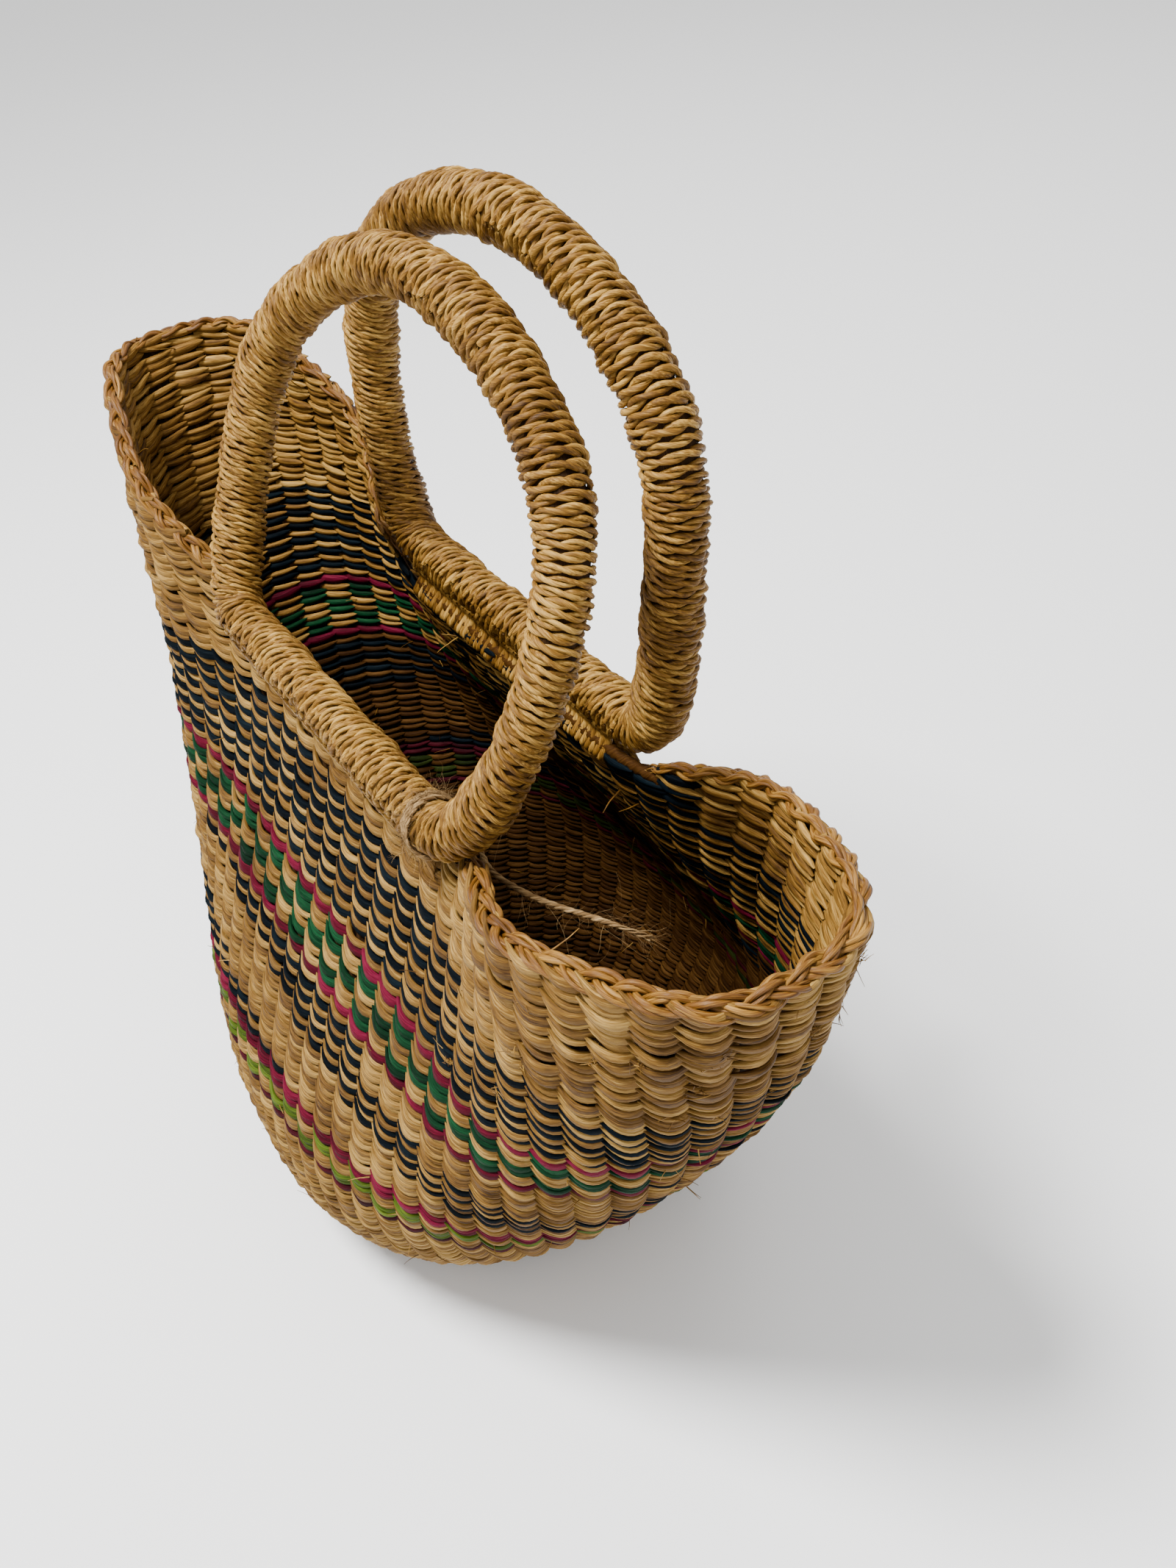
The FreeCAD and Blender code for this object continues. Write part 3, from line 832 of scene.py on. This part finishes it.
def lean_in(name, flat):
    """Points (x, out of plane, up the arch) put in the basket's frame."""
    side = SIDES[name]
    lean = math.radians(LEANS[name]) * side
    x, y, h = flat[..., 0], flat[..., 1], flat[..., 2]
    return np.stack([x, side * FOOT_Y + y * math.cos(lean) - h * math.sin(lean),
                     FOOT_Z + y * math.sin(lean) + h * math.cos(lean)], -1)


# a direction that no wrapped bundle or cord runs along
ODD_UP = (0.31, 0.17, 0.93)


def winding(line, pitch_at, reach_at, normal, seed, per_turn=32):
    """Middle line of a cord wound round a bundle, as a helix that wanders.

    pitch_at and reach_at give the pitch and the radius at a share of the line.
    Returns the path, the cord's local pitch, and its outward direction.
    """
    run = run_along(line)
    share = run / run[-1]
    turns = np.concatenate([[0], np.cumsum(np.diff(run) / pitch_at(share[1:]))])
    turn = np.linspace(0, turns[-1], int(turns[-1] * per_turn))
    at = np.interp(turn, turns, share)
    angle = turn * 2 * math.pi
    # a hand-wound cord bunches here and leans there
    lean = 0.9 + 0.5 * np.sin(at * 19 + seed)
    shift = lean * np.sin(angle + 1.3 * np.sin(at * 7 + seed))
    at = np.clip(at + shift / run[-1] + 0.35 * np.sin(turn * 0.9 + seed) / run[-1], 0, 1)
    heading = unit(np.gradient(line, axis=0))
    centre, ahead = line_at(at, share, line), unit(line_at(at, share, heading))
    flank = unit(np.cross(ahead, normal))
    upright = np.cross(flank, ahead)
    out = flank * np.cos(angle)[:, None] + upright * np.sin(angle)[:, None]
    lump = (0.30 * np.sin(turn * 0.53 + seed) + 0.22 * np.sin(turn * 1.37 + 2 * seed)
            + 0.18 * np.sin(angle * 2 + turn * 0.21))
    reach = reach_at(at) + lump
    return centre + out * reach[:, None], pitch_at(at), out


# two-ply cord: millimetres a twist, and the plies' swing and radius for each
# millimetre of pitch
LAY, PLY_SWING, PLY_RADIUS, PLY_SIDES = 17.0, 0.29, 0.285, 7


def wrap_piece(name, line, pitch_at, reach_at, normal, body, seed, replaced):
    """One wrapped bundle's cord: two twisted plies along a wound path."""
    path, pitch, out = winding(line, pitch_at, reach_at, normal, seed)
    strands = Strands()
    beside = np.cross(unit(np.gradient(path, axis=0)), out)
    run = run_along(path)
    for ply in range(2):
        twist = 2 * math.pi * run / LAY + math.pi * ply + 0.8 * np.sin(run / 41.0 + seed)
        swing = PLY_SWING * pitch
        line = (path + out * (0.9 * swing * np.cos(twist))[:, None]
                + beside * (swing * np.sin(twist))[:, None])
        thick = PLY_RADIUS * pitch * (1 + 0.10 * np.sin(run / 6.1 + 2 * seed + ply)
                                      + 0.06 * np.sin(run / 2.3 + ply))
        strands.add(*rope(line[None], thick[None], PLY_SIDES, spin=-0.30,
                          lobes=0.05, lobe_count=3, up=ODD_UP), np.array([0.5]))
        own = 0.5 + 0.28 * np.sin(run / 31.0 + seed + 3 * ply) + 0.14 * np.sin(run / 7.7 + ply)
        strands.coords[-1][:, 2] = np.repeat(own, PLY_SIDES)
    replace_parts(strands.build(name, CORD, body, "wrap_cord"), *replaced)


def core_piece(name, line, reach_at, body, replaced):
    """The grass bundle inside a wrap, dark as painted shade in the gaps between the cord's
    turns.
    """
    places, _ = even_line(line, 120)
    radius = reach_at(np.linspace(0, 1, len(places))) - 0.6
    bundle = *rope(places[None], radius[None], 16, up=ODD_UP), np.array([0.4])
    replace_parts(one_colour(name, GAP_SHADE, "grass_bundle", bundle, body), replaced)


# a foot's corner: where it leaves the bar, short of the foot, how far past the
# foot it bends, and where up the leg it ends
CORNER_START, CORNER_PAST, CORNER_END = 9.5, 1.0, 13.0


def corner(side, leg):
    """Foot corner: from the bar's end along the hinge, rounding into the leg."""
    foot = abs(leg[0, 0])
    start = np.array([side * (foot - CORNER_START), 0.0])
    middle = np.array([side * (foot + CORNER_PAST), 0.0])
    join = int(np.searchsorted(run_along(leg), CORNER_END)) - 1
    t = np.linspace(0, 1, 24)[:, None]
    bend = start * (1 - t) ** 2 + 2 * middle * t * (1 - t) + leg[join] * t ** 2
    return np.concatenate([bend[:-1], leg[join:]])


def bent(name, flat):
    """The arch with its own hand-made bends, a few millimetres each."""
    x, h = flat[:, 0], flat[:, 1]
    if name == "front":
        right = 6.5 * bump_at(h, 0, 30) - 4.5 * bump_at(h, 88, 42)
        left = 0 * h
    else:
        right = 5.0 * bump_at(h, 0, 30) + 7.0 * bump_at(h, 145, 38) - 2.5 * bump_at(h, 70, 30)
        left = 8.0 * np.clip(h / 90.0, 0, 1)
    share = np.clip(x / 60.0 + 0.5, 0, 1)
    return np.stack([x + left * (1 - share) + right * share, h], -1)


def handle_line(name):
    """Whole visible arch: foot corner, leg, apex, leg, foot corner."""
    flat = bent(name, arch_line(name))
    half = len(flat) // 2
    right = corner(1, flat[:half + 1])
    left = corner(-1, flat[half:][::-1])
    flat = np.concatenate([right[:-1], left[::-1]])
    flat = np.stack([flat[:, 0], 0 * flat[:, 0], flat[:, 1]], -1)
    normal = lean_in(name, np.array([0.0, 1, 0])) - lean_in(name, np.array([0.0, 0, 0]))
    return even_line(lean_in(name, flat), 1200)[0], normal


# how coarse each arch's cord is, right foot to left foot: (middle, width, more)
COARSE = {"front": [(0.35, 0.08, 0.8), (0.16, 0.06, 0.2), (0.50, 0.05, 0.5)],
          "rear": [(0.30, 0.07, 0.6), (0.44, 0.09, 0.8), (0.14, 0.06, 0.2), (0.62, 0.05, 0.3)]}
# knots and lumps of each arch: (middle, width, rise)
LUMPS = {"front": [(0.19, 0.012, 1.0), (0.205, 0.006, 0.5), (0.44, 0.014, 0.7)],
         "rear": [(0.27, 0.010, 1.2), (0.33, 0.012, 0.8), (0.74, 0.013, 1.3), (0.80, 0.03, 0.5)]}
# the cord's pitch, and what the bars take off the grip's radius and height
ARCH_PITCH, ARCH_SEEDS = 2.75, {"front": 1.0, "rear": 2.3}
BAR_PITCH, BAR_DEPTH, BAR_DROP = 3.15, 2.85, 0.6
# how far each bar runs on past its even half, left and right
BAR_LEFT, BAR_RIGHT = 2.2, 7.5


def build_handle(name):
    """An arch: its bundle and the cord wrapped round it."""
    line, normal = handle_line(name)
    seed = ARCH_SEEDS[name]

    def pitch_at(share):
        pitch = ARCH_PITCH + sum(more * bump_at(share, middle, width)
                                 for middle, width, more in COARSE[name])
        return pitch + 0.18 * np.sin(share * 61 + seed)

    def reach_at(share):
        reach = GRIP - 0.3 - 0.54 * pitch_at(share)
        reach = reach - 0.9 * (bump_at(share, 0, 0.03) + bump_at(share, 1, 0.03))
        if name == "front":
            reach = reach - 1.6 * bump_at(share, 0.16, 0.12)
        return reach + sum(rise * bump_at(share, middle, width)
                           for middle, width, rise in LUMPS[name])

    body = f"{name}_handle"
    wrap_piece(f"{name}_arch_wrap", line, pitch_at, reach_at, normal, body, seed,
               (f"{name}_handle_wrap", f"{name}_handle_splice"))
    core_piece(f"{name}_arch_core", line, reach_at, body, f"{name}_handle_core")


def build_bar(name):
    """A lower bar on the saddle: its bundle and its wrap."""
    side = SIDES[name]
    x = np.linspace(-BAR_HALF - BAR_LEFT, BAR_HALF + BAR_RIGHT, 300)
    line = np.stack([x, side * FOOT_Y + 0 * x, FOOT_Z - BAR_DROP + 0 * x], -1)

    def pitch_at(share):
        return BAR_PITCH + 0.25 * np.sin(share * 31 + side)

    def reach_at(share):
        return GRIP - BAR_DEPTH + 0.3 * np.sin(share * 13.0 + side)

    wrap_piece(f"{name}_bar_wrapping", line, pitch_at, reach_at, np.array([0, 0, 1.0]),
               "basket", 3.0 + side,
               (f"{name}_bar_wrap", f"{name}_bar_stitches", f"{name}_left_foot_lashing",
                f"{name}_right_foot_lashing"))
    # the bundle stops short of the foot, where the arch's own bundle turns
    core_piece(f"{name}_bar_bundle", line[np.abs(x) < BAR_HALF + 1.0], reach_at, "basket",
               f"{name}_bar_core")


def tie_down(name, side, x, foot, t, rise, blend_start, reach, radius, sides):
    """Strands from the wall's face that go up round a bar's flank.

    rise is the angle where they meet the bar, in degrees, the angle they go
    on through, and the share of the strand where that begins.
    """
    first, through, begin = rise
    turned = np.clip((t - begin) / (1 - begin), 0, 1)
    angle = math.radians(first) + math.radians(through) * turned + 0 * x[:, None]
    over = np.stack([x[:, None] + 0 * t, side * (FOOT_Y + reach * np.cos(angle)),
                     FOOT_Z + reach * np.sin(angle)], -1)
    blend = np.clip((t - blend_start) / 0.4, 0, 1)
    blend = (blend * blend * (3 - 2 * blend))[..., None]
    line = foot * (1 - blend) + over * blend
    one_colour(name, CORD, "wrap_cord",
               (*rope(line, radius, sides, spin=0.25, lobes=0.07, lobe_count=3,
                      up=(1, 0, 0.1)), rng.random(len(x))))


LASHINGS, LASHING_RADIUS, LASHING_REACH, LASHING_SLANT = 44, 1.75, GRIP - 1.3, 9.0
TIES, TIE_RADIUS, TIE_REACH, TIE_SLANT = 52, 1.45, GRIP - 0.9, 3.5


def build_lashings(name):
    """Strands that tie a bar down to the top rows of the wall."""
    side = SIDES[name]
    # column of the wall under each x, on this side
    columns = np.linspace(0, COLUMNS, 6601)
    level, _, _ = placed(columns, SADDLE_TOP - 9.0, -0.4)
    half = level[:, 1] * side > 0
    order = np.argsort(level[half][:, 0])
    wall_x, wall_column = level[half][order][:, 0], columns[half][order]

    # outside they slant, and overlap one another
    x = np.linspace(-BAR_HALF + 2, BAR_HALF - 1, LASHINGS) + rng.normal(0, 0.5, LASHINGS)
    t = np.linspace(0, 1, 16)[None, :]
    slant = LASHING_SLANT + rng.normal(0, 1.0, LASHINGS)[:, None]
    low = SADDLE_TOP - 11.0 + rng.normal(0, 1.2, LASHINGS)[:, None]
    column = np.interp(x[:, None] - side * slant * (1 - t) ** 1.3, wall_x, wall_column)
    height = low + (SADDLE_TOP + 1.5 - low) * np.clip(t / 0.7, 0, 1)
    foot, _, _ = placed(column, height, 0.9 + np.sin(math.pi * t))
    ends = np.clip(np.minimum(t, 1 - t) / 0.22, 0.15, 1)
    radius = (LASHING_RADIUS + rng.normal(0, 0.18, LASHINGS)[:, None]) * ends
    tie_down(f"{name}_bar_lashings", side, x, foot, t, (-92, 75, 0.55), 0.45,
             LASHING_REACH, radius, 8)

    # inside, short ties close the gap between the wall's top row and the bar
    x = np.linspace(-BAR_HALF + 1, BAR_HALF - 1, TIES) + rng.normal(0, 0.4, TIES)
    t = np.linspace(0, 1, 12)[None, :]
    column = np.interp(x[:, None] - side * TIE_SLANT * (1 - t), wall_x, wall_column)
    height = SADDLE_TOP - 3.6 + rng.normal(0, 0.5, TIES)[:, None] + 4.5 * np.clip(t / 0.6, 0, 1)
    foot, _, _ = placed(column, height, -WALL - 0.5 - 0.5 * np.sin(math.pi * t))
    radius = TIE_RADIUS * np.clip(np.minimum(t, 1 - t) / 0.2, 0.3, 1) + 0 * height
    tie_down(f"{name}_bar_inner_ties", side, x, foot, t, (-100, -52, 0.4), 0.3,
             TIE_REACH, radius, 7)


# ---- jute twine ----

# the loose end's route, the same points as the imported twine, in metres
TAIL_ROUTE = [(0.0660, -0.0254, 0.2560), (0.0770, -0.0245, 0.2510), (0.0910, -0.0305, 0.2480),
              (0.1050, -0.0270, 0.2465), (0.1180, -0.0205, 0.2455), (0.1300, -0.0125, 0.2445),
              (0.1370, -0.0075, 0.2430), (0.1430, -0.0025, 0.2405)]
# slack turns round the foot: how many, their start past the bar, spread and tilt
TURNS, TURN_START, TURN_SPREAD, TURN_TILT = 5.1, 9.0, 3.6, 3.4
TURN_PLY, TURN_OFFSET = 0.45, 0.36
TAIL_PLY, TAIL_OFFSET, TAIL_LAY, FRAY_LENGTH = 0.62, 0.44, 9.0, 12.0
# hairs of the loose end: count, first share of its length, shortest and
# longest, curl, and lean along the twine; fuzz, two tufts, a few long curls
TAIL_HAIRS = ((200, 0.1, (1.2, 4.0), 0.25, 1.2), (46, 0.45, (6.0, 14.0), 0.22, 0.9),
              (34, 0.88, (4.0, 11.0), 0.14, 1.8), (20, 0.15, (16.0, 36.0), 0.11, 0.5))


def smooth_route(points):
    """Points along the route, smoothed, in metres."""
    curve = bpy.data.curves.new("route", "CURVE")
    curve.dimensions = "3D"
    spline = curve.splines.new("NURBS")
    spline.points.add(len(points) - 1)
    for point, place in zip(spline.points, points):
        point.co = (*place, 1.0)
    spline.order_u = 3
    spline.use_endpoint_u = True
    spline.resolution_u = 12
    holder = add_object("route", curve)
    mesh = bpy.data.meshes.new_from_object(holder)
    places = np.array([v.co for v in mesh.vertices])
    bpy.data.objects.remove(holder)
    bpy.data.curves.remove(curve)
    bpy.data.meshes.remove(mesh)
    return places


def hairs(roots, headings, lengths, curl, radius=0.075, steps=18):
    """Fine curling hairs: each wanders from its root; three-sided tubes."""
    count = len(roots)
    heading = unit(np.array(headings, float))
    turn = unit(rng.normal(0, 1, (count, 3)))
    places = [np.array(roots, float)]
    step = (lengths / (steps - 1))[:, None]
    bend = curl * rng.normal(1, 0.4, count)[:, None]
    for _ in range(steps - 1):
        heading = unit(heading + np.cross(turn, heading) * bend * step
                       + rng.normal(0, 0.05, (count, 3)))
        turn = unit(turn + rng.normal(0, 0.25, (count, 3)))
        places.append(places[-1] + heading * step)
    line = np.stack(places, 1)
    taper = np.linspace(1, 0.35, steps)[None, :] * radius * rng.uniform(0.7, 1.2, count)[:, None]
    return rope(line, taper, 3, up=(0.23, 0.31, 0.92))


def build_turns():
    """Slack turns of twine that cross the front handle's right foot aslant."""
    turn = np.linspace(0, TURNS * 2 * math.pi, 400)
    x = BAR_HALF + TURN_START + TURN_SPREAD * turn / turn[-1] + 0.7 * np.sin(turn * 0.7)
    x = x - TURN_TILT * np.sin(turn + 0.3 * np.sin(turn * 0.4))
    reach = GRIP - 0.75 + 0.35 * np.sin(turn * 0.31) - 0.8 * np.clip(-np.sin(turn), 0, 1)
    middle = np.array([0, -FOOT_Y, FOOT_Z])
    flat = np.stack([0 * x, reach * np.cos(turn), reach * np.sin(turn)], -1)
    path = middle + flat + np.stack([x, 0 * x, 0 * x], -1)
    strands = Strands()
    for phase in (0.0, math.pi):
        ply = path + TURN_OFFSET * np.stack([np.cos(turn * 9 + phase), 0 * turn,
                                             np.sin(turn * 9 + phase)], -1)
        strands.add(*rope(ply[None], np.full((1, len(turn)), TURN_PLY), 7,
                          spin=0.6, lobes=0.1, up=(0.9, 0.2, 0.4)), rng.random(1))
    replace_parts(strands.build("jute_turns", JUTE, "basket", "jute"), "jute_binding")

    # short fuzz on the turns, and longer hairs that stand up over the foot
    strands = Strands()
    count = 420
    pick = rng.integers(0, len(path), count)
    outward = unit(flat[pick])
    lie = rng.normal(0, 0.8, (count, 3))
    strands.add(*hairs(path[pick] + outward * 0.8, outward * 0.55 + lie,
                       rng.uniform(2, 9, count), 0.22, 0.055), rng.random(count))
    count = 60
    pick = rng.integers(0, len(path), count)
    up = rng.normal(0, 0.9, (count, 3)) + [-0.3, 0.25, 0.8]
    strands.add(*hairs(path[pick], up, rng.uniform(7, 19, count), 0.26, 0.06, 26),
                rng.random(count))
    strands.build("jute_turn_hairs", JUTE, "basket", "jute")


def build_tail():
    """The twine's loose end over the opening, frayed at its tip."""
    line, length = even_line(smooth_route(TAIL_ROUTE) / MM, 130)
    heading, across, upward = frame_along(line)
    run = np.linspace(0, length, len(line))
    offset = TAIL_OFFSET * (1 + 1.1 * np.clip((run - length) / FRAY_LENGTH + 1, 0, 1) ** 2)
    strands = Strands()
    for i in range(3):
        twist = 2 * math.pi * run / TAIL_LAY + 2 * math.pi * i / 3
        ply = (line + across * (offset * np.cos(twist))[:, None]
               + upward * (offset * np.sin(twist))[:, None])
        thin = TAIL_PLY * np.clip((length - run) / 16.0, 0.5, 1) * (1 + 0.1 * np.sin(run + i))
        strands.add(*rope(ply[None], thin[None], 7, spin=0.6, lobes=0.12), rng.random(1))
    tail = strands.build("jute_loose_end", JUTE, "basket", "jute")
    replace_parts(tail, "jute_tail")

    strands = Strands()
    for count, low_share, lengths, curl, lean in TAIL_HAIRS:
        pick = (rng.uniform(low_share, 1, count) ** 0.8 * (len(line) - 1)).astype(int)
        away = rng.normal(0, 1, (count, 3)) * [1, 1, 0.6] + heading[pick] * lean
        strands.add(*hairs(line[pick], away, rng.uniform(*lengths, count), curl,
                           0.05, 22), rng.random(count))
    fuzz = strands.build("jute_fuzz", JUTE, "basket", "jute")


# ---- loose grass ends ----

# loose ends: how many, and their shortest and longest, curl, radius and steps
STRAYS, STRAY_HAIRS = 150, ((3, 9), 0.06, 0.26, 8)
CROWN_STRAYS, CROWN_HAIRS = 24, ((7, 15), 0.05, 0.42, 9)
TUFTS, TUFT_ENDS, TUFT_HAIRS = 30, 9, ((1.8, 5), 0.10, 0.20, 7)


def grow(strands, root, heading, kind):
    """Loose ends of one kind from their roots."""
    lengths, *shape = kind
    strands.add(*hairs(root, heading, rng.uniform(*lengths, len(root)), *shape),
                rng.random(len(root)))


def build_frays():
    """Loose grass ends that stand off the wall and the rim."""
    strands = Strands()
    column = rng.uniform(0, COLUMNS, STRAYS)
    height = 20 + rng.random(STRAYS) * (rim_of(column) - 22)
    outside = rng.random(STRAYS) < 0.62
    root, upward, normal = placed(column, height, np.where(outside, 0.4, -WALL - 0.4))
    normal = np.where(outside[:, None], normal, -normal)
    lie = np.cross(upward, normal) * rng.normal(0, 1, STRAYS)[:, None]
    heading = normal * 0.7 + lie + upward * rng.normal(0, 0.5, STRAYS)[:, None]
    grow(strands, root, heading, STRAY_HAIRS)
    # longer ones inside the crowns
    end = np.where(rng.random(CROWN_STRAYS) < 0.6, HALF_ROUND, 0.0)
    column = end + rng.uniform(-13, 13, CROWN_STRAYS)
    height = rim_of(column) - rng.uniform(0, 30, CROWN_STRAYS)
    root, upward, normal = placed(column, height, -WALL - 0.5)
    lie = np.cross(upward, normal) * rng.normal(0, 0.8, CROWN_STRAYS)[:, None]
    grow(strands, root, -normal * 0.6 + lie + upward * 0.4, CROWN_HAIRS)
    # little tufts where a weft strand was joined and trimmed
    column = np.where(rng.random(TUFTS) < 0.6, HALF_ROUND + rng.uniform(-10, 6, TUFTS),
                      rng.uniform(0, COLUMNS, TUFTS))
    height = rim_of(column) - rng.uniform(8, 70, TUFTS)
    root, upward, normal = (np.repeat(part, TUFT_ENDS, 0)
                            for part in placed(column, height, 0.2))
    root = root + rng.normal(0, 0.9, root.shape)
    lie = np.cross(upward, normal) * rng.normal(0.5, 1.0, len(root))[:, None]
    heading = normal * 0.25 + lie + upward * rng.normal(0, 0.6, len(root))[:, None]
    grow(strands, root, heading, TUFT_HAIRS)
    strands.build("loose_ends", CORD, "basket", "natural_weft")


# ---- floor and lights ----

FLOOR_REACH, FLOOR_PAINT = 6.0, (0.93, 0.93, 0.925, 1)
# soft lamps: name, place, size and power
LAMPS = (("key", (-0.12, -0.50, 1.55), 0.45, 60.0), ("fill", (1.3, -0.6, 0.6), 1.0, 3.0),
         ("back", (-0.9, 1.1, 1.3), 0.9, 6.0))
LAMP_TARGET = Vector((0, 0, 0.18))


def build_stage():
    """Pale floor and soft studio lamps."""
    mesh = bpy.data.meshes.new("floor")
    corners = [(x * FLOOR_REACH, y * FLOOR_REACH, 0)
               for x, y in ((-1, -1), (1, -1), (1, 1), (-1, 1))]
    mesh.from_pydata(corners, [], [(0, 1, 2, 3)])
    floor = add_object("floor", mesh)
    material, _, shader = new_material("floor_paint")
    shader.inputs["Base Color"].default_value = FLOOR_PAINT
    shader.inputs["Roughness"].default_value = 0.9
    mesh.materials.append(material)

    world = bpy.data.worlds.new("studio")
    bpy.context.scene.world = world
    world.use_nodes = True
    sky = world.node_tree.nodes["Background"]
    sky.inputs["Color"].default_value = (1.0, 1.0, 1.0, 1)
    sky.inputs["Strength"].default_value = 1.0

    for name, place, size, power in LAMPS:
        data = bpy.data.lights.new(name, "AREA")
        data.shape = "DISK"
        data.size = size
        data.energy = power
        lamp = add_object(name, data)
        lamp.location = place
        aim = LAMP_TARGET - Vector(place)
        lamp.rotation_euler = aim.to_track_quat("-Z", "Y").to_euler()


add_camera()
build_turns()
build_tail()
build_wall()
build_stakes()
build_heart()
build_base()
build_frays()
build_braid(1, "right_braid", "right_rim_braid")
build_braid(-1, "left_braid", "left_rim_braid")
for handle in ("front", "rear"):
    build_handle(handle)
    build_bar(handle)
    build_lashings(handle)
build_stage()
